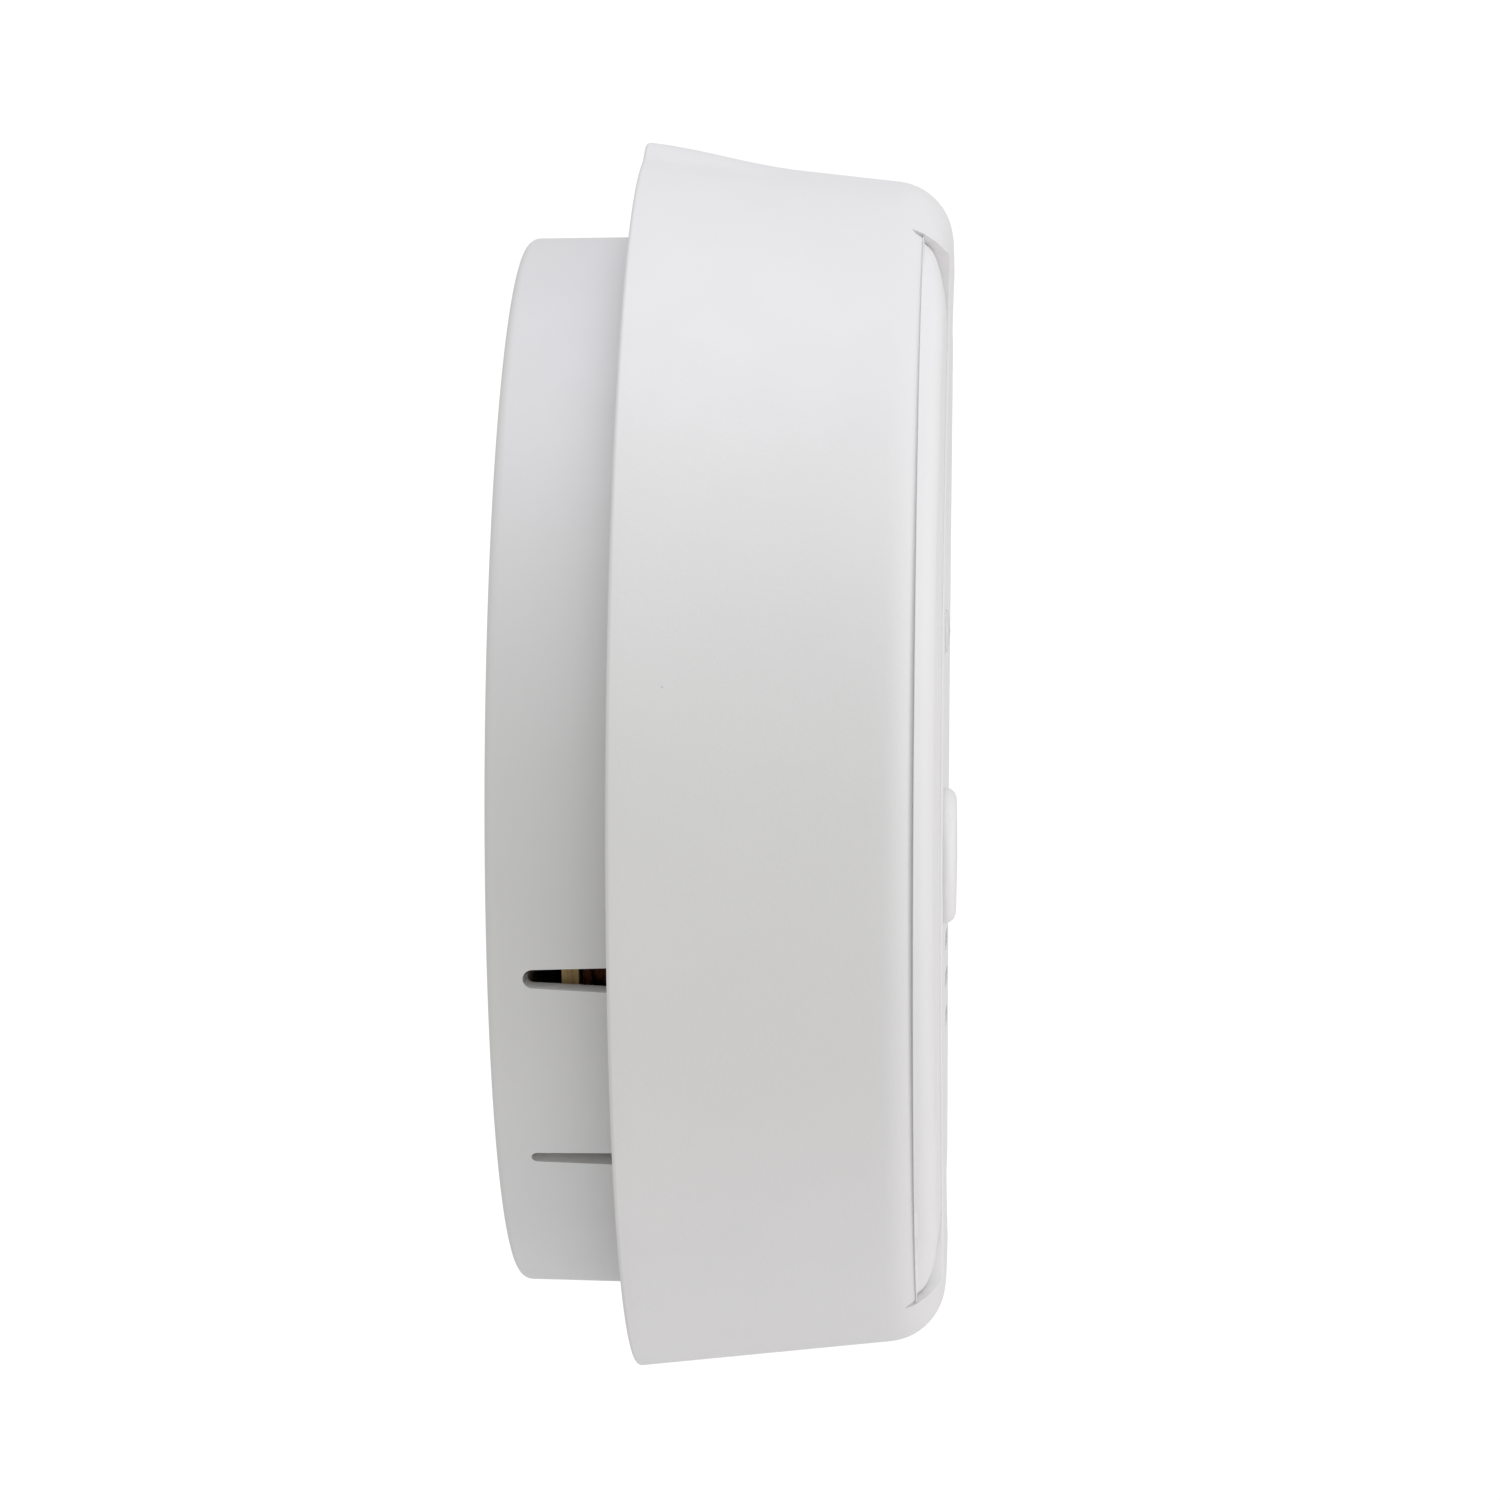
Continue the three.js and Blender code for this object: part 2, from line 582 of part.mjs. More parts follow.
function insectScreen() {
  const { across, up, radius, vaneBack, capBack } = CHAMBER;
  const [inner, outer] = [radius - 0.1, radius + 0.3];
  const [back, front] = [vaneBack - 0.7, capBack - GAP];
  return turned([[inner, back], [outer, back], [outer, front], [inner, front]], MEDIUM, across, up);
}

// A small domed lamp or sensor that stands on back.
function domedPart(across, up, back, height = LAMP.height) {
  const { flange, flangeThick, radius, dome } = LAMP;
  return turned([
    [0, back],
    [flange, back],
    [flange, back + flangeThick],
    [radius, back + flangeThick],
    [radius, back + height - 1.5],
    [dome, back + height - 0.5],
    [0, back + height],
  ], SMALL, across, up);
}

function hornHousing() {
  const { across, up, radius, wall, mouth, top } = HORN;
  return turned([
    [radius - wall, ON_BOARD],
    [radius, ON_BOARD],
    [radius, top - 1],
    [radius - 1, top],
    [mouth, top],
    [mouth, top - 6],
    [mouth + 1.2, top - 6],
    [mouth + 1.2, top - 1.4],
    [radius - wall, top - 1.4],
  ], MEDIUM, across, up);
}

function piezoDisc() {
  const { across, up, radius, disc } = HORN;
  const [brass, ceramic] = [radius - 1.8, radius - 5.5];
  return turned([
    [0, disc],
    [brass, disc],
    [brass, disc + 0.3],
    [ceramic, disc + 0.3],
    [ceramic, disc + 0.6],
    [0, disc + 0.6],
  ], MEDIUM, across, up);
}

// Bent leaf that touches the piezo disc from the board.
function piezoContact(across, up) {
  const foot = block([across - 1, across + 1], [up - 1.5, up + 1.5], [ON_BOARD, ON_BOARD + 0.4]);
  const top = HORN.disc - 0.4;
  const leaf = block([across - 1, across - 0.6], [up - 1.2, up + 1.2], [ON_BOARD, top]);
  const pad = block([across - 1, across + 1.2], [up - 1.2, up + 1.2], [top - 0.4, top]);
  return join(foot, leaf, pad);
}

function batteryCell() {
  const { length, width, thick, up, back, corner } = BATTERY;
  const options = { depth: length, bevelEnabled: false, curveSegments: 4 };
  const body = new THREE.ExtrudeGeometry(roundedRectangle(width, thick, corner), options);
  body.translate(0, 0, -length / 2).applyMatrix4(FACE_UP).translate(0, up, back + thick / 2);
  const middle = back + thick / 2;
  const end = length / 2;
  const { apart, positive, negative } = TERMINAL;
  const roundStud = crossRod(up + apart, middle, positive, end - 0.5, end + 2.6);
  const flaredStud = crossRod(up - apart, middle, negative, end - 0.5, end + 2.2, 6);
  return join(solid(body), roundStud, flaredStud);
}

// Tray that holds the battery on the board, with a low wall along each side.
function batteryCradle() {
  const { length, width, up, back } = BATTERY;
  const [low, high] = [up - width / 2 - 1.5, up + width / 2 + 1.5];
  const half = length / 2 + 1.2;
  const tray = block([-half, half], [low, high], [ON_BOARD, back + 4]);
  const hollow = block([-half + 0.9, half + 5], [low + 1.2, high - 1.2], [back - GAP, back + 9]);
  return cut(tray, hollow).intersect(rod(0, 0, HOUSING_INNER - 0.5, ON_BOARD - 1, 40, LARGE));
}

function terminalBlock() {
  const { up } = BATTERY;
  const left = CLIP.right + GAP;
  const low = up - 11.5;
  const body = block([left, left + 2], [low, up + 8], [ON_BOARD, 26.5]);
  const foot = block([left, left + 4.3], [low, up + 4], [ON_BOARD, ON_BOARD + 2]);
  return join(body, foot);
}

// Sprung clip on a long leg, for one stud of the battery.
function batteryContact(up) {
  const { left, right, half, halfThick } = CLIP;
  const middle = BATTERY.back + BATTERY.thick / 2;
  const clip = block([left, right], [up - half, up + half], [middle - halfThick, middle + halfThick]);
  const leg = block([left + 0.3, right], [up - 1.2, up + 1.2], [ON_BOARD, middle]);
  return join(clip, leg);
}

function tactSwitch() {
  const { across, up } = BUTTON;
  const body = block([across - 3, across + 3], [up - 3, up + 3], [ON_BOARD, SWITCH_TOP]);
  return body.subtract(rod(across, up, 1.9, SWITCH_TOP - 1.4, SWITCH_TOP + 1));
}

function switchPlunger() {
  const { across, up, stemEnd } = BUTTON;
  const top = stemEnd - 0.8;
  const back = SWITCH_TOP - 0.9;
  return turned([[0, back], [1.6, back], [1.6, top - 0.3], [1.3, top], [0, top]], SMALL, across, up);
}

function controlChip() {
  const { half, low, high, thick, legs, pitch, firstLeg, legHalf } = CHIP;
  const back = ON_BOARD + 0.4;
  const kneeFront = ON_BOARD + 1.6;
  let chip = block([-half, half], [low, high], [back, back + thick]);
  for (let i = 0; i < legs; i += 1) {
    const up = firstLeg + pitch * i;
    const along = [up - legHalf, up + legHalf];
    chip = chip.add(block([-half - 0.8, half + 0.8], along, [kneeFront - 0.4, kneeFront]));
    for (const across of [-half - 0.6, half + 0.6]) {
      chip = chip.add(block([across - 0.2, across + 0.2], along, [ON_BOARD, kneeFront]));
    }
  }
  return chip;
}

function canCapacitor({ across, up, radius, height }) {
  const top = ON_BOARD + height;
  return turned([
    [0, ON_BOARD],
    [radius, ON_BOARD],
    [radius, ON_BOARD + 1],
    [radius - 0.3, ON_BOARD + 1.4],
    [radius, ON_BOARD + 1.8],
    [radius, top - 0.4],
    [radius - 0.4, top],
    [0, top],
  ], MEDIUM, across, up);
}

// Wound choke: a drum core with its flanges proud of the winding.
function chokeCoil() {
  const { across, up, radius, height } = CHOKE;
  const top = ON_BOARD + height;
  return turned([
    [0, ON_BOARD],
    [radius, ON_BOARD],
    [radius, ON_BOARD + 0.8],
    [radius - 0.4, ON_BOARD + 1],
    [radius - 0.4, top - 1],
    [radius, top - 0.8],
    [radius, top],
    [0, top],
  ], MEDIUM, across, up);
}

// ---- assembly ----
place('mounting_bracket', mountingBracket(), BRACKET_PLASTIC);
place('rear_housing', rearHousing(), WHITE_SHELL);
place('hinge_pin', crossRod(HINGE.up, HINGE.out, HINGE.pin, -HINGE.half, HINGE.half), STEEL);
place('front_cover', frontCover(), WHITE_SHELL);
place('face_insert_near', faceInsert(-1), WHITE_TRIM);
place('face_insert_far', faceInsert(1), WHITE_TRIM);
place('test_button', testButton(), WHITE_TRIM);
place('button_guide', buttonGuide(), WHITE_SHELL);
place('button_spring', buttonSpring(), STEEL);
place('light_pipe', lightPipe(), CLEAR);
place('circuit_board', circuitBoard(), BOARD);
SCREW_SPOTS.forEach(([across, up], i) => place(`board_screw_${i + 1}`, boardScrew(across, up), STEEL));
place('chamber_base', chamberBase(), BLACK_PLASTIC);
place('chamber_cap', chamberCap(), BLACK_PLASTIC);
place('insect_screen', insectScreen(), SCREEN);
place('ir_emitter', domedPart(CHAMBER.across - 6, CHAMBER.up + 4, CHAMBER.vaneBack), CLEAR);
place('photodiode', domedPart(CHAMBER.across + 6, CHAMBER.up + 3, CHAMBER.vaneBack), BLACK_PLASTIC);
place('horn_housing', hornHousing(), BLACK_PLASTIC);
place('piezo_disc', piezoDisc(), BRASS);
PIEZO_CONTACTS.forEach(([across, up], i) => {
  place(`piezo_contact_${i + 1}`, piezoContact(HORN.across + across, HORN.up + up), STEEL);
});
place('battery', batteryCell(), BATTERY_JACKET);
place('battery_cradle', batteryCradle(), WHITE_SHELL);
place('battery_terminal_block', terminalBlock(), BLACK_PLASTIC);
place('battery_contact_positive', batteryContact(BATTERY.up + 4.2), STEEL);
place('battery_contact_negative', batteryContact(BATTERY.up - 6.6), STEEL);
place('tact_switch', tactSwitch(), BLACK_PLASTIC);
place('switch_plunger', switchPlunger(), BLACK_PLASTIC);
place('indicator_led', domedPart(LIGHT.across, LIGHT.up, ON_BOARD, LIGHT.end - 0.9 - ON_BOARD), RED_LAMP);
place('control_chip', controlChip(), BLACK_PLASTIC);
CAPACITORS.forEach((size, i) => place(`capacitor_${i + 1}`, canCapacitor(size), BLACK_PLASTIC));
place('choke_coil', chokeCoil(), BROWN_COIL);

export default alarm;
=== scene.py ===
"""Looks for the smoke alarm: fine shells, moulded plastic and the parts inside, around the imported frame."""

import math
import random

import bmesh
import bpy
from mathutils import Matrix, Vector


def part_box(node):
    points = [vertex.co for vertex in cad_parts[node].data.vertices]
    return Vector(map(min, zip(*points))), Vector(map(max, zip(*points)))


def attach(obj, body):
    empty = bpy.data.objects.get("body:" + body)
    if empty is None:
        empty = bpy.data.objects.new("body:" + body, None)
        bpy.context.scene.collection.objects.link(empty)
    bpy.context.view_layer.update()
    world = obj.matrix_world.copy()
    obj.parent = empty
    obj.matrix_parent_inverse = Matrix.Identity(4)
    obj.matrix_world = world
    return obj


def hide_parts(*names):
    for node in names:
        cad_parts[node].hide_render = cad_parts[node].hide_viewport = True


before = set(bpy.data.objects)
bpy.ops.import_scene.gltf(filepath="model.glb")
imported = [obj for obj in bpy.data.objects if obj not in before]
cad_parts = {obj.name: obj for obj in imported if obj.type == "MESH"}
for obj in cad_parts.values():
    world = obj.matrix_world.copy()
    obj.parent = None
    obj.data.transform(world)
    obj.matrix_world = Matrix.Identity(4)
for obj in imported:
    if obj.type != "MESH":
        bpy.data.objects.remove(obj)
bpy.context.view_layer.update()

# ---- sizes in millimetres; (out, across, up) is the order of the row's X, Y and Z ----
MM = 0.001
GAP = 0.3
WALL = 2.2
RIM_RADIUS = 60.6
RIM_OUT = 11.8
FACE_OUT = 42.2
SHOULDER_RADIUS = 6.0
SHOULDER_OUT = FACE_OUT - SHOULDER_RADIUS
SHOULDER_CENTRE = 52.2
WALL_SLOPE = (SHOULDER_CENTRE + SHOULDER_RADIUS - RIM_RADIUS) / (SHOULDER_OUT - RIM_OUT)
FACE_DISH = 0.55
INNER_FACE = FACE_OUT - WALL
FLANGE_BACK = INNER_FACE - 2.2
FLANGE_FRONT = INNER_FACE - 0.8
LIP_HEIGHT = 1.1
LIP_LENGTH = 15.5
LIP_HALF_WIDTH = 12.5

HOUSING_RADIUS = 52.1
HOUSING_INNER = 50.7
HOUSING_CORNER = 1.1
HOUSING_FRONT = 31.0
HOUSING_SPREAD = 0.4  # how much wider the housing is at its front than at the wall
FLOOR_BACK = 2.1
FLOOR_FRONT = 3.7
RECESS_RADIUS = 48.3
TAB_ANGLES = (30, 150, 270)
LIP_HALF_ANGLE = 8.5
STOP_ANGLES = (8.6, 11)
SCREW_SPOTS = ((-40, 10), (40, 10), (0, -43))
POST_RADIUS = 3
POST_BORE = 1.5
VENT_BACK = 3.4
VENT_FRONT = 19
VENT_BACK_HALF = 0.95
VENT_FRONT_HALF = 1.6
VENT_SLOTS = ((21, 1), (44.2, 0.66), (135.8, 0.66), (159, 1))  # (degrees down, share of the width)
WINDOW_BACK = 20
WINDOW_FRONT = 27
WINDOW_HALF = 4
WINDOW_ANGLES = [degrees_down for degrees_down in range(10, 171, 16) if degrees_down != 90]

BOARD_BACK = 6.8
BOARD_FRONT = 8.4
ON_BOARD = BOARD_FRONT + GAP
BOARD_RADIUS = 49.3

HINGE_UP = -55.3
HINGE_OUT = 14.0
BARREL_RADIUS = 1.5
BORE_RADIUS = 0.95
COVER_KNUCKLE = (5.3, 9.3)
HOUSING_KNUCKLE = 5
BUTTON = (0, -9.4)
BUTTON_RADIUS = 6.8
BUTTON_PROUD = 1.25
LIGHT = (0, 13.1)
LIGHT_RADIUS = 2.2
LIGHT_PROUD = 0.35
CHAMBER = (-20, -19)
CHAMBER_RADIUS = 16.5
HORN = (22, -20)
HORN_RADIUS = 17.3
HORN_TOP = 24.4
HORN_MOUTH = 6
DISC_BACK = 13
DISC_RADIUS = HORN_RADIUS - 1.8
TERMINAL_OFFSET = 6.35  # of a battery terminal from the battery's middle
BAND_HALF = 12.6  # raised band between the inserts
BAND_CORNER = 6.6
BAND_END = 50.0
BAND_FLARE = 7.4
BAND_FLARE_TURN = 52  # degrees that the flare turns before it runs out
CREASE_END = 52.6  # where an insert's place runs out on the shoulder
CREASE_DEPTH = 1.15
CREASE_FADE = 1.1
EDGE_ROUNDING = 0.22  # of the raised edge beside an insert
INSERT_BACK = 39.6
INSERT_DROP = 0.2
INSERT_EDGE = 2.7
INSERT_EDGE_CENTRE = 54.3
INSERT_NOSE = 9.0
INSERT_NOSE_DROP = 3.0
INSERT_END = 51.3  # tip of an insert, in the flare
GRILLE = (31, -20)
GRILLE_RADIUS = 11.5
GRILLE_HALF = 0.8
GRILLE_PITCH = 4
RIB_ANGLES = (20, 52, 128, 160, 200, 238, 302, 340)
RIB_ENDS = (53.5, 56.8)
RIB_HALF = 0.6
EDGE = 0.35  # small rounding on moulded edges

FINE = 256  # segments round the shells
ROUND = 96
SMALL = 48


# ---- mesh making ----
def mesh_object(name, points, faces):
    """A closed mesh from points in millimetres, with its faces turned outwards."""
    mesh = bpy.data.meshes.new(name)
    mesh.from_pydata([[MM * value for value in point] for point in points], [], faces)
    shape = bmesh.new()
    shape.from_mesh(mesh)
    bmesh.ops.recalc_face_normals(shape, faces=shape.faces)
    shape.to_mesh(mesh)
    shape.free()
    obj = bpy.data.objects.new(name, mesh)
    bpy.context.scene.collection.objects.link(obj)
    return obj


def rounded(corners, steps=6):
    """(radius, out, rounding) corners as plain points, each corner replaced by an arc of that radius."""
    points = []
    for i, (radius, out, rounding) in enumerate(corners):
        here = Vector((radius, out))
        if rounding == 0:
            points.append(here)
            continue
        before = (Vector(corners[i - 1][:2]) - here).normalized()
        after = (Vector(corners[(i + 1) % len(corners)][:2]) - here).normalized()
        half = before.angle(after) / 2
        centre = here + (before + after).normalized() * rounding / math.sin(half)
        start = here + before * rounding / math.tan(half) - centre
        end = here + after * rounding / math.tan(half) - centre
        turn = start.angle_signed(end)
        for step in range(steps + 1):
            points.append(centre + Matrix.Rotation(-turn * step / steps, 2) @ start)
    return [tuple(point) for point in points]


def spaced(points, longest):
    """The same outline with its long stretches cut into steps no longer than longest."""
    result = []
    for a, b in zip(points, points[1:]):
        count = max(1, math.ceil(math.dist(a, b) / longest))
        result += [tuple(u + (v - u) * k / count for u, v in zip(a, b)) for k in range(count)]
    return result + [points[-1]]


def lathe(name, profile, segments=ROUND, centre=(0, 0), shape=None):
    """A solid of revolution about the outward axis; its (radius, out) points end on the axis or close."""
    points = []
    rings = []
    for radius, out in profile:
        if radius < 1e-6:
            rings.append([len(points)] * segments)
            points.append((out, centre[0], centre[1]))
            continue
        rings.append(range(len(points), len(points) + segments))
        for k in range(segments):
            angle = 2 * math.pi * k / segments
            across, up = radius * math.sin(angle), -radius * math.cos(angle)
            points.append((out, centre[0] + across, centre[1] + up))
    if shape:
        points = [shape(*point) for point in points]
    pairs = list(zip(rings, rings[1:]))
    if profile[0][0] > 1e-6:
        pairs.append((rings[-1], rings[0]))
    faces = []
    for a, b in pairs:
        for k in range(segments):
            n = (k + 1) % segments
            corners = dict.fromkeys((a[k], a[n], b[n], b[k]))
            if len(corners) > 2:
                faces.append(list(corners))
    return mesh_object(name, points, faces)


def loft(name, sections):
    """A closed solid through sections with equal numbers of points."""
    count = len(sections[0])
    points = [point for section in sections for point in section]
    faces = [list(range(count)), list(range(len(points) - count, len(points)))]
    for i in range(len(sections) - 1):
        for k in range(count):
            n = (k + 1) % count
            faces.append([i * count + k, i * count + n, (i + 1) * count + n, (i + 1) * count + k])
    return mesh_object(name, points, faces)


def prism(name, outline, back, front):
    """An (across, up) outline pushed outwards from back to front."""
    return loft(name, [[(out, across, up) for across, up in outline] for out in (back, front)])


def cross_prism(name, outline, left, right):
    """An (out, up) outline pushed across."""
    return loft(name, [[(out, across, up) for out, up in outline] for across in (left, right)])


def circle(centre, radius):
    angles = [2 * math.pi * k / SMALL for k in range(SMALL)]
    return [(centre[0] + radius * math.cos(a), centre[1] + radius * math.sin(a)) for a in angles]


def arc(centre, radius, start, end, steps=12):
    """Points of an arc between two angles in degrees."""
    angles = [math.radians(start + (end - start) * k / steps) for k in range(steps + 1)]
    return [(centre[0] + radius * math.cos(a), centre[1] + radius * math.sin(a)) for a in angles]


def rectangle(left, right, low, high):
    return [(left, low), (right, low), (right, high), (left, high)]


def helix(centre, spread, back, front, turns, steps):
    """Points of a coil that winds outwards from back to front."""
    points = []
    for k in range(turns * steps + 1):
        angle = 2 * math.pi * k / steps
        out = back + (front - back) * k / (turns * steps)
        points.append((out, centre[0] + spread * math.cos(angle), centre[1] + spread * math.sin(angle)))
    return points


def ring_part(inner, outer, start, end):
    return arc((0, 0), outer, start, end) + arc((0, 0), inner, end, start)


def radial_prism(name, outline, degrees_down, inner, outer):
    """An (out, sideways) outline pushed along a radius; angle 0 is the near side, growing downwards."""
    angle = math.radians(degrees_down)
    sections = []
    for radius in (inner, outer):
        section = []
        for out, side in outline:
            across = -radius * math.cos(angle) + side * math.sin(angle)
            up = -radius * math.sin(angle) - side * math.cos(angle)
            section.append((out, across, up))
        sections.append(section)
    return loft(name, sections)


def applied(obj):
    """obj with its modifiers worked into its mesh."""
    graph = bpy.context.evaluated_depsgraph_get()
    made = bpy.data.meshes.new_from_object(obj.evaluated_get(graph))
    obj.modifiers.clear()
    obj.data = made
    return obj


def combine(obj, others, operation):
    """Joins or cuts obj by the others, which are then gone."""
    for other in others:
        modifier = obj.modifiers.new("combine", "BOOLEAN")
        modifier.operation = operation
        modifier.solver = "MANIFOLD"
        modifier.object = other
    applied(obj)
    for other in others:
        bpy.data.objects.remove(other)
    return obj


def cut(obj, *others):
    return combine(obj, others, "DIFFERENCE")


def join(obj, *others):
    return combine(obj, others, "UNION")


def as_one(name, parts):
    """Several solids that don't meet, held as one object."""
    shape = bmesh.new()
    for part in parts:
        shape.from_mesh(part.data)
        bpy.data.objects.remove(part)
    mesh = bpy.data.meshes.new(name)
    shape.to_mesh(mesh)
    shape.free()
    obj = bpy.data.objects.new(name, mesh)
    bpy.context.scene.collection.objects.link(obj)
    return obj


def soften(obj, width):
    """Rounds the sharp edges of obj by width millimetres."""
    modifier = obj.modifiers.new("edges", "BEVEL")
    modifier.width = width * MM
    modifier.segments = 2
    modifier.limit_method = "ANGLE"
    modifier.angle_limit = math.radians(35)
    return applied(obj)


def finished(obj, body, slot, material, *nodes, sharp=30):
    """Shades obj, gives it its material and puts it on its body in place of the named nodes."""
    obj.data.materials.clear()
    obj.data.materials.append(material)
    for polygon in obj.data.polygons:
        polygon.use_smooth = True
    obj.data.set_sharp_from_angle(angle=math.radians(sharp))
    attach(obj, body)
    if nodes:
        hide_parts(*nodes)
    return obj


def refined(node, width):
    """A clean copy of a node's solid: its triangles merged into flat faces and its edges rounded."""
    shape = bmesh.new()
    shape.from_mesh(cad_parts[node].data)
    bmesh.ops.remove_doubles(shape, verts=shape.verts, dist=2e-6)
    bmesh.ops.dissolve_limit(shape, angle_limit=math.radians(1), verts=shape.verts, edges=shape.edges)
    mesh = bpy.data.meshes.new(node + "_fine")
    shape.to_mesh(mesh)
    shape.free()
    obj = bpy.data.objects.new(node + "_fine", mesh)
    bpy.context.scene.collection.objects.link(obj)
    return soften(obj, width)


# ---- materials ----
class Shader:
    """A node material that is built up from named steps."""

    def __init__(self, name, roughness, metallic=0.0, specular=0.5):
        self.material = bpy.data.materials.new(name)
        self.material.use_nodes = True
        self.tree = self.material.node_tree
        self.surface = self.tree.nodes["Principled BSDF"]
        self.surface.inputs["Roughness"].default_value = roughness
        self.surface.inputs["Metallic"].default_value = metallic
        self.surface.inputs["Specular IOR Level"].default_value = specular
        self.place = self.node("ShaderNodeTexCoord").outputs["Object"]

    def node(self, kind, **settings):
        made = self.tree.nodes.new(kind)
        for key, value in settings.items():
            setattr(made, key, value)
        return made

    def link(self, output, socket):
        self.tree.links.new(output, socket)

    def noise(self, scale, detail=4, stretch=(1, 1, 1)):
        mapping = self.node("ShaderNodeMapping")
        mapping.inputs["Scale"].default_value = stretch
        self.link(self.place, mapping.inputs["Vector"])
        made = self.node("ShaderNodeTexNoise")
        made.inputs["Scale"].default_value = scale
        made.inputs["Detail"].default_value = detail
        self.link(mapping.outputs["Vector"], made.inputs["Vector"])
        return made.outputs["Fac"]

    def ramp(self, factor, stops):
        """Colours or greys at positions along factor."""
        made = self.node("ShaderNodeValToRGB")
        elements = made.color_ramp.elements
        while len(elements) < len(stops):
            elements.new(1)
        for element, (position, colour) in zip(elements, stops):
            element.position = position
            element.color = (*colour, 1) if isinstance(colour, tuple) else (colour, colour, colour, 1)
        self.link(factor, made.inputs["Fac"])
        return made.outputs["Color"]

    def mix(self, factor, a, b, blend="MIX"):
        made = self.node("ShaderNodeMix", data_type="RGBA", blend_type=blend)
        for value, key in ((factor, "Factor"), (a, "A"), (b, "B")):
            socket = next(s for s in made.inputs if s.name == key and s.enabled)
            if isinstance(value, bpy.types.NodeSocket):
                self.link(value, socket)
            elif key == "Factor":
                socket.default_value = value
            else:
                socket.default_value = (*value, 1)
        return next(s for s in made.outputs if s.name == "Result" and s.enabled)

    def bump(self, heights):
        """Stacks (height output, distance in mm) pairs into the surface's normal."""
        normal = None
        for height, distance in heights:
            made = self.node("ShaderNodeBump")
            made.inputs["Distance"].default_value = distance * MM
            made.inputs["Strength"].default_value = 1
            self.link(height, made.inputs["Height"])
            if normal:
                self.link(normal, made.inputs["Normal"])
            normal = made.outputs["Normal"]
        self.link(normal, self.surface.inputs["Normal"])


def moulded_plastic(name, light, dark, roughness, grain=0.012, specks=True):
    """Injection-moulded plastic: fine spark grain, faint cloudiness and a few dark specks."""
    shader = Shader(name, roughness, specular=0.45)
    cloud = shader.ramp(shader.noise(26, 3), [(0.35, dark), (0.65, light)])
    if specks:
        cells = shader.node("ShaderNodeTexVoronoi")
        cells.inputs["Scale"].default_value = 210
        shader.link(shader.place, cells.inputs["Vector"])
        dot = shader.ramp(cells.outputs["Distance"], [(0.0, 0.6), (0.03, 0.0)])
        pick = shader.ramp(shader.noise(95, 1), [(0.71, 0.0), (0.74, 1.0)])
        chosen = shader.mix(1.0, dot, pick, "MULTIPLY")
        cloud = shader.mix(chosen, cloud, (0.42, 0.39, 0.36))
    shader.link(cloud, shader.surface.inputs["Base Color"])
    gloss = shader.ramp(shader.noise(160, 3), [(0.3, roughness - 0.06), (0.7, roughness + 0.06)])
    shader.link(gloss, shader.surface.inputs["Roughness"])
    shader.bump([
        (shader.noise(2600, 2), grain),
        (shader.noise(900, 3), grain * 1.2),
        (shader.noise(45, 2), 0.02),
    ])
    return shader.material


def plain_moulding(name, light, dark, roughness, specular=0.4):
    """Dark or tinted plastic with a satin grain."""
    shader = Shader(name, roughness, specular=specular)
    colour = shader.ramp(shader.noise(220, 4), [(0.3, dark), (0.7, light)])
    shader.link(colour, shader.surface.inputs["Base Color"])
    gloss = shader.ramp(shader.noise(400, 3), [(0.3, roughness - 0.07), (0.7, roughness + 0.07)])
    shader.link(gloss, shader.surface.inputs["Roughness"])
    shader.bump([(shader.noise(1800, 2), 0.01)])
    return shader.material


def metal(name, light, dark, roughness, stretch=(1, 1, 14)):
    """Plated or rolled metal with fine drawn lines."""
    shader = Shader(name, roughness, metallic=1.0)
    colour = shader.ramp(shader.noise(300, 4), [(0.3, dark), (0.7, light)])
    shader.link(colour, shader.surface.inputs["Base Color"])
    lines = shader.noise(700, 3, stretch)
    gloss = shader.ramp(lines, [(0.3, roughness - 0.08), (0.7, roughness + 0.1)])
    shader.link(gloss, shader.surface.inputs["Roughness"])
    shader.bump([(lines, 0.006)])
    return shader.material


def laminate(name):
    """Tan board laminate: paper layers along its edge and a faint weave on its faces."""
    shader = Shader(name, 0.45, specular=0.5)
    layers = shader.noise(260, 2, (9, 1, 1))
    fibres = shader.noise(500, 4)
    base = shader.ramp(layers, [(0.35, (0.62, 0.42, 0.18)), (0.6, (0.82, 0.61, 0.31))])
    tone = shader.ramp(fibres, [(0.3, (0.8, 0.76, 0.7)), (0.7, (1.0, 1.0, 1.0))])
    shader.link(shader.mix(1.0, base, tone, "MULTIPLY"), shader.surface.inputs["Base Color"])
    shader.bump([(layers, 0.02), (fibres, 0.01)])
    return shader.material


def clear_resin(name, tint, roughness, clarity):
    """Moulded clear, milky or tinted resin with faint flow marks."""
    shader = Shader(name, roughness, specular=0.5)
    shader.surface.inputs["Transmission Weight"].default_value = clarity
    shader.surface.inputs["IOR"].default_value = 1.49
    light = tuple(min(1, value * 1.06) for value in tint)
    colour = shader.ramp(shader.noise(120, 3), [(0.3, tint), (0.7, light)])
    shader.link(colour, shader.surface.inputs["Base Color"])
    shader.bump([(shader.noise(160, 2), 0.01)])
    return shader.material


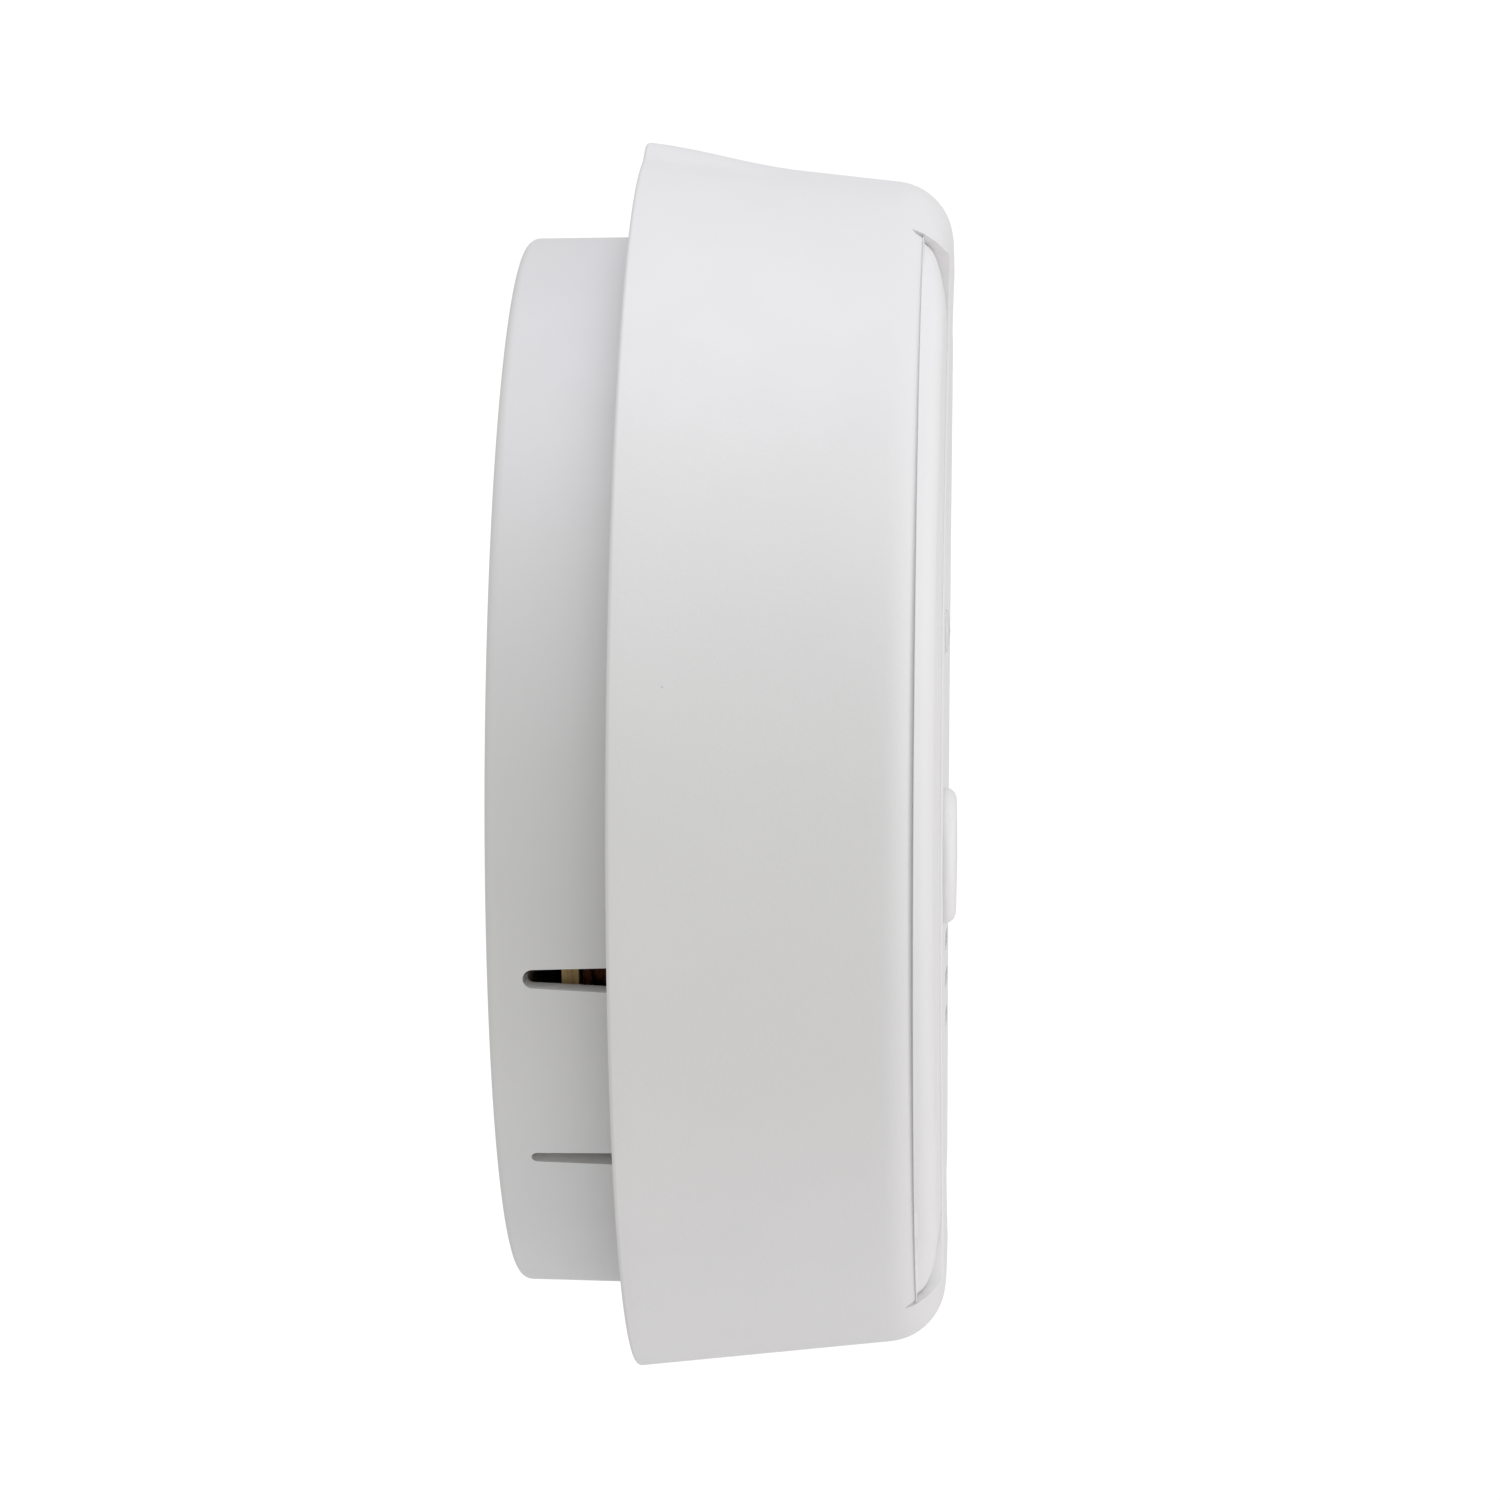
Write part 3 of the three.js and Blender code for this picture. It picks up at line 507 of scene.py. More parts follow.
def battery_jacket(name):
    """Dark lacquered metal jacket with a copper-coloured band at the terminal end, and no lettering."""
    shader = Shader(name, 0.3, metallic=0.55)
    split = shader.node("ShaderNodeSeparateXYZ")
    shader.link(shader.place, split.inputs["Vector"])
    band = shader.node("ShaderNodeMath", operation="GREATER_THAN")
    band.inputs[1].default_value = 0.012
    shader.link(split.outputs["Y"], band.inputs[0])
    dark = shader.ramp(shader.noise(180, 3), [(0.3, (0.018, 0.019, 0.024)), (0.7, (0.03, 0.032, 0.04))])
    copper = shader.ramp(shader.noise(220, 3), [(0.3, (0.5, 0.26, 0.12)), (0.7, (0.62, 0.34, 0.17))])
    shader.link(shader.mix(band.outputs[0], dark, copper), shader.surface.inputs["Base Color"])
    shader.bump([(shader.noise(900, 2), 0.006)])
    return shader.material


WHITE = moulded_plastic("white_shell_plastic", (0.83, 0.826, 0.826), (0.8, 0.795, 0.797), 0.52)
TRIM = moulded_plastic("white_trim_plastic", (0.85, 0.847, 0.847), (0.82, 0.816, 0.818), 0.46, grain=0.008)
HOUSING = moulded_plastic(
    "white_housing_plastic", (0.82, 0.818, 0.824), (0.78, 0.778, 0.786), 0.5, grain=0.009
)
BRACKET = moulded_plastic("bracket_plastic", (0.76, 0.752, 0.74), (0.71, 0.703, 0.69), 0.55, specks=False)
BLACK = plain_moulding("black_moulding", (0.022, 0.022, 0.023), (0.012, 0.012, 0.013), 0.5)
CHIP = plain_moulding("chip_moulding", (0.045, 0.045, 0.047), (0.025, 0.025, 0.027), 0.6)
BROWN = plain_moulding("brown_winding", (0.17, 0.06, 0.03), (0.09, 0.028, 0.014), 0.32, 0.6)
SLEEVE = plain_moulding("capacitor_sleeve", (0.02, 0.022, 0.045), (0.012, 0.013, 0.03), 0.3, 0.6)
SCREEN = plain_moulding("screen_mesh", (0.08, 0.08, 0.075), (0.05, 0.05, 0.047), 0.5)
STEEL = metal("plated_steel", (0.72, 0.72, 0.73), (0.58, 0.58, 0.6), 0.28)
BRASS = metal("rolled_brass", (0.78, 0.6, 0.28), (0.66, 0.48, 0.2), 0.3, (1, 12, 1))
SOLDER = metal("solder", (0.74, 0.74, 0.76), (0.6, 0.6, 0.63), 0.35, (1, 1, 1))
BOARD = laminate("board_laminate")
CLEAR = clear_resin("clear_resin", (0.88, 0.91, 0.9), 0.12, 0.75)
MILKY = clear_resin("milky_resin", (0.84, 0.85, 0.85), 0.22, 0.15)
RED = clear_resin("red_resin", (0.62, 0.05, 0.04), 0.15, 0.6)
JACKET = battery_jacket("battery_jacket")


# ---- front cover ----
def wall_radius(out):
    return RIM_RADIUS + WALL_SLOPE * (out - RIM_OUT)


def smooth(value):
    value = max(0.0, min(1.0, value))
    return value * value * (3 - 2 * value)


def lip(out, across, up):
    """How far the finger lip stands out from the cover's wall."""
    if up < 0 or not RIM_OUT - 1 < out < RIM_OUT + LIP_LENGTH:
        return 0.0
    along = 0.5 * (1 + math.cos(math.pi * (out - RIM_OUT) / LIP_LENGTH))
    return LIP_HEIGHT * along * smooth((LIP_HALF_WIDTH - abs(across)) / 6)


def dish(up):
    """How far the face lies below its full height."""
    return FACE_DISH * max(0.0, 1 - (up / SHOULDER_CENTRE) ** 2)


def shape_outside(out, across, up):
    """Moves a plain revolved point onto the cover's real outside: finger lip and dished face."""
    radius = math.hypot(across, up)
    if radius > RIM_RADIUS - WALL - 1 and out < SHOULDER_OUT:
        scale = 1 + lip(out, across, up) / radius
        return out, across * scale, up * scale
    blend = smooth((out - SHOULDER_OUT) / SHOULDER_RADIUS)
    return out - blend * dish(up), across, up


def cover_level(across, up):
    """The height of the cover's outside at a point of the face or shoulder."""
    beyond = max(0.0, math.hypot(across, up) - SHOULDER_CENTRE)
    if beyond >= SHOULDER_RADIUS:
        return SHOULDER_OUT
    level = SHOULDER_OUT + math.sqrt(SHOULDER_RADIUS**2 - beyond**2)
    return level - smooth((level - SHOULDER_OUT) / SHOULDER_RADIUS) * dish(up)


def band_outline(grow=0.0):
    """One side of the raised band, top to bottom, as ((across, up), direction into the band)."""
    across = BAND_HALF + BAND_CORNER
    corner, flare = BAND_CORNER + grow, BAND_FLARE - grow
    spots = []
    for k in range(19):
        angle = math.radians(BAND_FLARE_TURN * (1 - k / 18))
        spot = (across + flare * math.sin(angle), BAND_END + BAND_FLARE - flare * math.cos(angle))
        spots.append((spot, (-math.sin(angle), math.cos(angle))))
    for k in range(1, 25):
        angle = math.radians(90 + 3.75 * k)
        way = (math.cos(angle), math.sin(angle))
        spots.append(((across + corner * way[0], BAND_END - BAND_CORNER + corner * way[1]), way))
    straight = BAND_END - BAND_CORNER
    spots += [((BAND_HALF - grow, straight * (1 - k / 12)), (-1, 0)) for k in range(1, 12)]
    lower = [((spot[0], -spot[1]), (way[0], -way[1])) for spot, way in reversed(spots)]
    return [*spots, ((BAND_HALF - grow, 0), (-1, 0)), *lower]


def insert_place(name, side, grow, outer, back, front):
    """Plain solid over the place of an insert, from the band's outline to a radius."""
    sections = []
    for (near, up), _ in band_outline(grow):
        far = math.sqrt(outer**2 - up**2)
        corners = ((back, near), (front, near), (front, far), (back, far))
        sections.append([(out, side * across, up) for out, across in corners])
    return loft(name, sections)


def pocket_floor(across, up):
    """Level of an insert's place: flat, then a crease that runs out on the shoulder at both ends."""
    depth = CREASE_DEPTH * smooth((CREASE_END - abs(up)) / CREASE_FADE)
    return min(INSERT_BACK, cover_level(across, up) - depth)


def pocket_cutter(side):
    """Cuts the place for a face insert, with the raised edge beside it slightly rounded."""
    sections = []
    outer = RIM_RADIUS + 2
    for (near, up), way in band_outline():
        floor = pocket_floor(near, up)
        top = max(cover_level(near, up), floor + 0.05)
        rounding = min(EDGE_ROUNDING, 0.8 * (top - floor))
        far = math.sqrt(outer**2 - up**2)
        section = [(floor, side * near, up)]
        for step in range(6):
            angle = math.radians(18 * step)
            inward = rounding * (1 - math.cos(angle))
            out = top - rounding + 0.03 + rounding * math.sin(angle)
            section.append((out, side * (near + way[0] * inward), up + way[1] * inward))
        inward = rounding + 0.4
        spot = (side * (near + way[0] * inward), up + way[1] * inward)
        section += [(top + 0.3, *spot), (FACE_OUT + 4, *spot)]
        section += [(FACE_OUT + 4, side * far, up), (floor, side * far, up)]
        sections.append(section)
    return loft("pocket", sections)


def face_hole(name, centre, radius, rounding):
    """Cuts a round hole through the face, rounded over at its front."""
    top = cover_level(*centre)
    profile = [(0, top - 6), (radius, top - 6)]
    for step in range(6):
        angle = math.radians(18 * step)
        wider, out = rounding * (1 - math.cos(angle)), top - rounding + rounding * math.sin(angle)
        profile.append((radius + wider, out))
    profile += [(radius + rounding + 1, top + 0.3), (radius + rounding + 1, top + 3), (0, top + 3)]
    return lathe(name, profile, ROUND, centre)


def sound_slots():
    """Level slots with round ends that fill a circle of the far insert."""
    slots = []
    across, half = GRILLE[0], GRILLE_HALF
    for row in (-2, -1, 0, 1, 2):
        up = GRILLE[1] + row * GRILLE_PITCH
        reach = math.sqrt(GRILLE_RADIUS**2 - (row * GRILLE_PITCH) ** 2) - half
        outline = arc((across + reach, up), half, -90, 90) + arc((across - reach, up), half, 90, 270)
        slots.append(prism("slot", outline, INSERT_BACK - WALL - 1, FACE_OUT + 2))
    return as_one("slots", slots)


def knuckle(name, left, right, wall_up):
    """A hinge barrel with the web that carries it."""
    turn = arc((HINGE_OUT, HINGE_UP), BARREL_RADIUS, 0, 180, 24)
    if wall_up < HINGE_UP:
        outline = turn + [(HINGE_OUT - BARREL_RADIUS, wall_up), (HINGE_OUT + BARREL_RADIUS, wall_up)]
    else:
        turn = arc((HINGE_OUT, HINGE_UP), BARREL_RADIUS, 180, 360, 24)
        outline = turn + [(HINGE_OUT + BARREL_RADIUS, wall_up), (HINGE_OUT - BARREL_RADIUS, wall_up)]
    return cross_prism(name, outline, left, right)


def cover_outside():
    corners = [
        (0, FACE_OUT, 0),
        (wall_radius(FACE_OUT) - 0.3, FACE_OUT, SHOULDER_RADIUS),
        (RIM_RADIUS, RIM_OUT, EDGE),
        (RIM_RADIUS - 4, RIM_OUT, 0),
        (RIM_RADIUS - 8, RIM_OUT, 0),
        (0, RIM_OUT, 0),
    ]
    profile = spaced(rounded(corners, 14), 1.6)
    return lathe("cover_shell", profile, FINE, shape=shape_outside)


def cover_cavity():
    corners = [
        (0, RIM_OUT - 2, 0),
        (RIM_RADIUS - WALL + 0.25, RIM_OUT - 2, 0),
        (RIM_RADIUS - WALL + 0.25, RIM_OUT, 0),
        (RIM_RADIUS - WALL, RIM_OUT + 0.3, 0),
        (wall_radius(INNER_FACE) - WALL, INNER_FACE, SHOULDER_RADIUS - WALL),
        (0, INNER_FACE, 0),
    ]
    cavity = lathe("cavity", spaced(rounded(corners, 10), 4), FINE)
    shelves = [
        insert_place("shelf", side, WALL, RIM_RADIUS, INSERT_BACK - WALL, FACE_OUT + 1) for side in (-1, 1)
    ]
    return cut(cavity, *shelves)


def cover_ribs():
    """Stiffening ribs between the cover's wall and its face, seen when it is open."""
    ribs = []
    near, far = RIB_ENDS
    for degrees in RIB_ANGLES:
        angle = math.radians(degrees)
        along = Vector((math.cos(angle), math.sin(angle)))
        aside = Vector((-along.y, along.x)) * RIB_HALF
        outline = [along * near - aside, along * far - aside, along * far + aside, along * near + aside]
        ribs.append(prism("rib", [tuple(p) for p in outline], 26, INSERT_BACK - WALL + 0.4))
    return ribs


def front_cover():
    cover = cut(cover_outside(), cover_cavity())
    near, far = COVER_KNUCKLE
    knuckles = [
        knuckle("knuckle", *sorted((side * near, side * far)), -RIM_RADIUS + WALL - 0.6)
        for side in (-1, 1)
    ]
    latch = prism("latch", rectangle(-6, 6, 54.3, 57.4), 20, SHOULDER_OUT + 1)
    join(cover, latch, *knuckles, *cover_ribs())
    bore = cross_prism("bore", circle((HINGE_OUT, HINGE_UP), BORE_RADIUS), -12, 12)
    cut(
        cover,
        bore,
        pocket_cutter(-1),
        pocket_cutter(1),
        face_hole("button_hole", BUTTON, BUTTON_RADIUS + GAP, 0.3),
        face_hole("light_hole", LIGHT, LIGHT_RADIUS + 0.12, 0.15),
        sound_slots(),
    )
    return finished(cover, "cover", "white_shell", WHITE, "front_cover")


def face_insert(name, side, node):
    """Panel beside the raised band: dished like the face, with a rounded outer edge and falling ends."""
    inner_rounding = 0.25
    notch = 0.05
    back = INSERT_BACK + 0.02
    outer = INSERT_EDGE_CENTRE + INSERT_EDGE - 0.04

    def level(across, up, from_inner):
        front = FACE_OUT - dish(up) - INSERT_DROP
        beyond = max(0.0, math.hypot(across, up) - INSERT_EDGE_CENTRE)
        top = front - INSERT_EDGE + math.sqrt(max(0.0, INSERT_EDGE**2 - beyond**2))
        inside = max(0.0, inner_rounding - from_inner)
        top -= inner_rounding - math.sqrt(max(0.0, inner_rounding**2 - inside**2))
        nose = max(0.0, 1 - (INSERT_END - abs(up)) / INSERT_NOSE)
        top -= INSERT_NOSE_DROP * (1 - math.sqrt(1 - nose**2))
        return max(back + notch + 0.03, top)

    def inner(up):
        """Where the panel begins: beside the straight band, round its corner and along its flare."""
        centre, gap = BAND_HALF + BAND_CORNER, 0.06
        if abs(up) > BAND_END - gap:
            below = BAND_END + BAND_FLARE - abs(up)
            return centre + math.sqrt(max(0.0, (BAND_FLARE + gap) ** 2 - below**2)) + gap
        beyond = max(0.0, abs(up) - (BAND_END - BAND_CORNER))
        return centre - math.sqrt(BAND_CORNER**2 - beyond**2) + gap

    sections = []
    columns = 36
    for k in range(241):
        up = INSERT_END * math.sin(math.pi / 2 * (k / 120 - 1))
        near, far = inner(up), math.sqrt(outer**2 - up**2)
        width = far - near
        section = [(back, near)]
        for step in range(columns + 1):
            share = 0.5 * (1 - math.cos(math.pi * step / columns))
            across = near + width * share
            section.append((level(across, up, width * share), across))
        section += [(back + notch, far), (back, far - notch)]
        sections.append([(out, side * across, up) for out, across in section])
    panel = loft(name, sections)
    if side > 0:
        cut(panel, sound_slots())
    return finished(panel, "cover", "white_trim", TRIM, node, sharp=40)


def test_button():
    """Mushroom of the test button: rounded head, retaining flange and long stem."""
    top = cover_level(*BUTTON) + BUTTON_PROUD
    corners = [
        (0, 14, 0),
        (2.5, 14, 0.5),
        (2.5, FLANGE_BACK, 0.4),
        (BUTTON_RADIUS + 1.4, FLANGE_BACK, 0.3),
        (BUTTON_RADIUS + 1.4, FLANGE_FRONT, 0.3),
        (BUTTON_RADIUS, FLANGE_FRONT, 0.2),
        (BUTTON_RADIUS, top, 1.15),
        (0, top + 0.12, 0),
    ]
    button = lathe("test_button_cap", spaced(rounded(corners, 8), 2), 128, BUTTON)
    return finished(button, "button", "white_trim", TRIM, "test_button")


def light_pipe():
    top = cover_level(*LIGHT) + LIGHT_PROUD
    corners = [
        (0, 14.3, 0),
        (1.3, 14.3, 0.2),
        (1.3, FLANGE_FRONT - 2, 0.4),
        (LIGHT_RADIUS + 1.2, FLANGE_FRONT - 2, 0.2),
        (LIGHT_RADIUS + 1.2, FLANGE_FRONT, 0.2),
        (LIGHT_RADIUS, FLANGE_FRONT, 0.15),
        (LIGHT_RADIUS, top - 0.1, 0.3),
        (0, top + 0.15, 0),
    ]
    pipe = lathe("light_pipe_lens", rounded(corners, 6), SMALL, LIGHT)
    return finished(pipe, "cover", "clear_plastic", MILKY, "light_pipe")


def button_guide():
    front = INNER_FACE - 0.7
    corners = [
        (2.8, 27.8, 0.2),
        (10, 27.8, 0.6),
        (10, front, 0.2),
        (8.8, front, 0.2),
        (8.8, 29, 0.4),
        (2.8, 29, 0.2),
    ]
    guide = lathe("button_guide_cup", rounded(corners, 4), SMALL * 2, BUTTON)
    return finished(guide, "cover", "white_shell", WHITE, "button_guide")


def wire(name, points, radius, sides=8):
    """A round wire through points, closed at both ends."""
    sections = []
    for i, point in enumerate(points):
        ahead = Vector(points[min(i + 1, len(points) - 1)]) - Vector(points[max(i - 1, 0)])
        turn = ahead.to_track_quat("Z", "X")
        section = []
        for k in range(sides):
            angle = 2 * math.pi * k / sides
            spoke = turn @ Vector((math.cos(angle), math.sin(angle), 0))
            section.append(tuple(Vector(point) + spoke * radius))
        sections.append(section)
    return loft(name, sections)


def button_spring():
    points = helix(BUTTON, 5.2, 29.7, FLANGE_BACK - 0.7, turns=5, steps=32)
    coil = wire("button_return_spring", points, 0.4)
    return finished(coil, "cover", "steel", STEEL, "button_spring", sharp=60)


# ---- rear housing and bracket ----
def housing_profile():
    corners = [
        (0, FLOOR_BACK, 0),
        (RECESS_RADIUS, FLOOR_BACK, 0.2),
        (RECESS_RADIUS, 0, 0.2),
        (HOUSING_RADIUS, 0, HOUSING_CORNER),
        (HOUSING_RADIUS + HOUSING_SPREAD / 2, RIM_OUT, 0),
        (HOUSING_RADIUS + HOUSING_SPREAD, HOUSING_FRONT, 0.4),
        (HOUSING_INNER + HOUSING_SPREAD, HOUSING_FRONT, 0.3),
        (HOUSING_INNER, FLOOR_FRONT, 0.6),
        (0, FLOOR_FRONT, 0),
    ]
    return spaced(rounded(corners, 8), 5)


def vent_outline(share):
    """Vent slot as (out, sideways): round back end, slightly wider towards the face."""
    back_half, front_half = VENT_BACK_HALF * share, VENT_FRONT_HALF * share
    front_end = [(VENT_FRONT, -front_half), (VENT_FRONT, front_half)]
    return arc((VENT_BACK + back_half, 0), back_half, 90, 270) + front_end


def housing_additions():
    """Bayonet lips and stops in the recess, screw posts on the floor and the hinge knuckle."""
    inner, outer = RECESS_RADIUS - 2.1, RECESS_RADIUS + 0.5
    additions = []
    for angle in TAB_ANGLES:
        bayonet_lip = ring_part(inner, outer, angle - LIP_HALF_ANGLE, angle + LIP_HALF_ANGLE)
        additions.append(prism("bayonet_lip", bayonet_lip, 0.05, 0.7))
        bayonet_stop = ring_part(inner, outer, angle + STOP_ANGLES[0], angle + STOP_ANGLES[1])
        additions.append(prism("bayonet_stop", bayonet_stop, 0.05, FLOOR_BACK + 0.2))
    for spot in SCREW_SPOTS:
        additions.append(prism("post", circle(spot, POST_RADIUS), FLOOR_FRONT - 0.5, BOARD_BACK - GAP))
    additions.append(knuckle("housing_knuckle", -HOUSING_KNUCKLE, HOUSING_KNUCKLE, -HOUSING_RADIUS + 1))
    return additions


def housing_openings():
    """Screw bores, the hinge bore, the vent slots and the smoke windows."""
    inner, outer = HOUSING_INNER - 3, HOUSING_RADIUS + 3
    bores = [circle(spot, POST_BORE) for spot in SCREW_SPOTS]
    openings = [prism("bore", bore, FLOOR_FRONT - 0.3, BOARD_BACK) for bore in bores]
    bore_half = HOUSING_KNUCKLE + 2
    bore = circle((HINGE_OUT, HINGE_UP), BORE_RADIUS)
    openings.append(cross_prism("hinge_bore", bore, -bore_half, bore_half))
    for degrees_down, share in VENT_SLOTS:
        openings.append(radial_prism("vent", vent_outline(share), degrees_down, inner, outer))
    window = rectangle(WINDOW_BACK, WINDOW_FRONT, -WINDOW_HALF, WINDOW_HALF)
    for degrees_down in WINDOW_ANGLES:
        openings.append(radial_prism("window", window, degrees_down, inner, outer))
    return as_one("openings", openings)


def rear_housing():
    housing = lathe("housing_shell", housing_profile(), FINE)
    join(housing, *housing_additions())
    cut(housing, housing_openings())
    return finished(housing, "base", "white_shell", HOUSING, "rear_housing")


def refined_parts():
    """The remaining parts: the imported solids, cleaned up and with rounded edges."""
    rows = (
        ("mounting_bracket", "bracket", "bracket_plastic", BRACKET, 0.3),
        ("hinge_pin", "base", "steel", STEEL, 0.1),
        ("board_screw_1", "base", "steel", STEEL, 0.08),
        ("board_screw_2", "base", "steel", STEEL, 0.08),
        ("board_screw_3", "base", "steel", STEEL, 0.08),
        ("chamber_cap", "base", "black_plastic", BLACK, 0.15),
        ("piezo_contact_1", "base", "steel", STEEL, 0.08),
        ("piezo_contact_2", "base", "steel", STEEL, 0.08),
        ("piezo_contact_3", "base", "steel", STEEL, 0.08),
        ("battery_cradle", "base", "white_shell", HOUSING, 0.3),
        ("battery_terminal_block", "base", "black_plastic", BLACK, 0.3),
        ("battery_contact_positive", "base", "steel", STEEL, 0.12),
        ("battery_contact_negative", "base", "steel", STEEL, 0.12),
        ("tact_switch", "base", "black_plastic", BLACK, 0.2),
        ("control_chip", "base", "black_plastic", CHIP, 0.12),
    )
    for node, body, slot, material, width in rows:
        finished(refined(node, width), body, slot, material, node)


# ---- board and components ----
def circuit_board():
    corners = [
        (0, BOARD_BACK, 0),
        (BOARD_RADIUS, BOARD_BACK, 0.04),
        (BOARD_RADIUS, BOARD_FRONT, 0.04),
        (0, BOARD_FRONT, 0),
    ]
    board = lathe("circuit_board_fine", spaced(rounded(corners, 3), 6), FINE)
    holes = [prism("hole", circle(spot, 1.6), BOARD_BACK - 1, BOARD_FRONT + 1) for spot in SCREW_SPOTS]
    cut(board, as_one("holes", holes))
    return finished(board, "base", "circuit_board", BOARD, "circuit_board")


def solder_joints():
    """Small solder cones on the back of the board, under the components' leads."""
    pitch, wanted = 2.54, 70
    chance = random.Random(7)
    spots = [(pitch * a, pitch * b) for a in range(-17, 18) for b in range(-17, 18)]
    chance.shuffle(spots)
    cone = [(0, 0), (0.85, 0.02), (0.55, 0.35), (0.3, 0.8), (0, 0.9)]
    profile = [(radius, BOARD_BACK - height) for radius, height in cone]
    joints = []
    for across, up in spots:
        if len(joints) == wanted or math.hypot(across, up) > BOARD_RADIUS - 4:
            continue
        if any(math.dist((across, up), spot) < 5 for spot in SCREW_SPOTS):
            continue
        joints.append(lathe("joint", profile, 12, (across, up)))
    return finished(as_one("solder_joints", joints), "base", "steel", SOLDER)


def turned_parts():
    """Round parts on the board, each from its own rounded profile."""
    chamber_base = [
        (0, ON_BOARD, 0),
        (CHAMBER_RADIUS, ON_BOARD, 0.3),
        (CHAMBER_RADIUS, 11.3, 0.3),
        (CHAMBER_RADIUS - 2.5, 11.3, 0.2),
        (CHAMBER_RADIUS - 2.5, 12, 0.2),
        (0, 12, 0),
    ]
    horn = [
        (HORN_RADIUS - 1.3, ON_BOARD, 0.2),
        (HORN_RADIUS, ON_BOARD, 0.2),
        (HORN_RADIUS, HORN_TOP, 1.2),
        (HORN_MOUTH, HORN_TOP, 0.8),
        (HORN_MOUTH, HORN_TOP - 6, 0.2),
        (HORN_MOUTH + 1.2, HORN_TOP - 6, 0.2),
        (HORN_MOUTH + 1.2, HORN_TOP - 1.4, 0.4),
        (HORN_RADIUS - 1.3, HORN_TOP - 1.4, 0.8),
    ]
    disc = [
        (0, DISC_BACK, 0),
        (DISC_RADIUS, DISC_BACK, 0.05),
        (DISC_RADIUS, DISC_BACK + 0.3, 0.05),
        (DISC_RADIUS - 3.7, DISC_BACK + 0.3, 0),
        (DISC_RADIUS - 3.7, DISC_BACK + 0.6, 0.05),
        (0, DISC_BACK + 0.6, 0),
    ]
    plunger = [(0, 11.3, 0), (1.6, 11.3, 0.1), (1.6, 13.2, 0.3), (0, 13.2, 0)]
    rows = (
        ("chamber_base", chamber_base, CHAMBER, "base", "black_plastic", BLACK),
        ("horn_housing", horn, HORN, "base", "black_plastic", BLACK),
        ("piezo_disc", disc, HORN, "base", "brass", BRASS),
        ("switch_plunger", plunger, BUTTON, "plunger", "black_plastic", BLACK),
    )
    for node, corners, centre, body, slot, material in rows:
        made = lathe(node + "_fine", rounded(corners, 5), ROUND, centre)
        finished(made, body, slot, material, node)


def domed_part(node, centre, back, height, slot, material):
    """A small resin lamp or sensor with a flange and a domed end."""
    corners = [
        (0, back, 0),
        (1.9, back, 0.1),
        (1.9, back + 0.85, 0.1),
        (1.5, back + 0.85, 0.08),
        (1.5, back + height, 1.3),
        (0, back + height, 0),
    ]
    made = lathe(node + "_fine", rounded(corners, 8), SMALL, centre)
    return finished(made, "base", slot, material, node)


def insect_screen():
    """Woven ring of fine wires round the sensing chamber."""
    low, high = (corner.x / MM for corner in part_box("insect_screen"))
    radius, half_gauge = CHAMBER_RADIUS + 0.1, 0.11
    uprights, rows = 72, 9
    wires = []
    for k in range(uprights):
        angle = 2 * math.pi * k / uprights
        spot = (CHAMBER[0] + radius * math.cos(angle), CHAMBER[1] + radius * math.sin(angle))
        wires.append(wire("upright", [(low, *spot), (high, *spot)], half_gauge, 5))
    for k in range(rows):
        out = low + 0.2 + (high - low - 0.4) * k / (rows - 1)
        thick = 0.3 if k in (0, rows - 1) else half_gauge
        ring = rectangle(radius - 0.1, radius + 0.2, out - thick, out + thick)
        wires.append(lathe("ring", ring, ROUND, CHAMBER))
    return finished(as_one("insect_screen_fine", wires), "base", "screen", SCREEN, "insect_screen")


def battery():
    low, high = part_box("battery")
    thick, width = (high.x - low.x) / MM, (high.z - low.z) / MM
    out, up = (low.x / MM + thick / 2), (low.z / MM + width / 2)
    half, corner, crimp = 24.25, 2.2, 0.5
    ends = ((-half, 1.0), (-half + crimp, 0.0), (half - crimp, 0.0), (half, 1.0))
    sections = []
    for across, inset in ends:
        section = []
        for quarter, (side_out, side_up) in enumerate(((1, 1), (-1, 1), (-1, -1), (1, -1))):
            centre = (out + side_out * (thick / 2 - corner), up + side_up * (width / 2 - corner))
            for a, b in arc(centre, corner - inset * 0.4, 90 * quarter, 90 * quarter + 90, 8):
                section.append((a, across, b))
        sections.append(section)
    body = soften(loft("battery_body", sections), 0.15)
    finished(body, "base", "battery", JACKET, "battery")
    round_stud = [
        (0, half, 0),
        (2.9, half, 0.2),
        (2.9, half + 2.6, 0.5),
        (1.9, half + 2.6, 0.2),
        (1.7, half + 1.4, 0.1),
        (0, half + 1.4, 0),
    ]
    six_sided_cup = [
        (0, half, 0),
        (3.3, half, 0.2),
        (3.9, half + 2.2, 0.25),
        (3.2, half + 2.2, 0.2),
        (2.8, half + 0.8, 0.1),
        (0, half + 0.8, 0),
    ]
    positive = turned_across("battery_terminal_positive", (out, up + TERMINAL_OFFSET), round_stud)
    negative = turned_across("battery_terminal_negative", (out, up - TERMINAL_OFFSET), six_sided_cup, 6)
    for terminal in (positive, negative):
        finished(terminal, "base", "steel", STEEL)


def turned_across(name, centre, corners, segments=SMALL):
    """A revolved part that lies across instead of pointing outwards."""
    made = lathe(name, rounded(corners, 4), segments)
    quarter = Matrix(((0, 1, 0, centre[0] * MM), (1, 0, 0, 0), (0, 0, 1, centre[1] * MM), (0, 0, 0, 1)))
    made.data.transform(quarter)
    made.data.flip_normals()
    return made


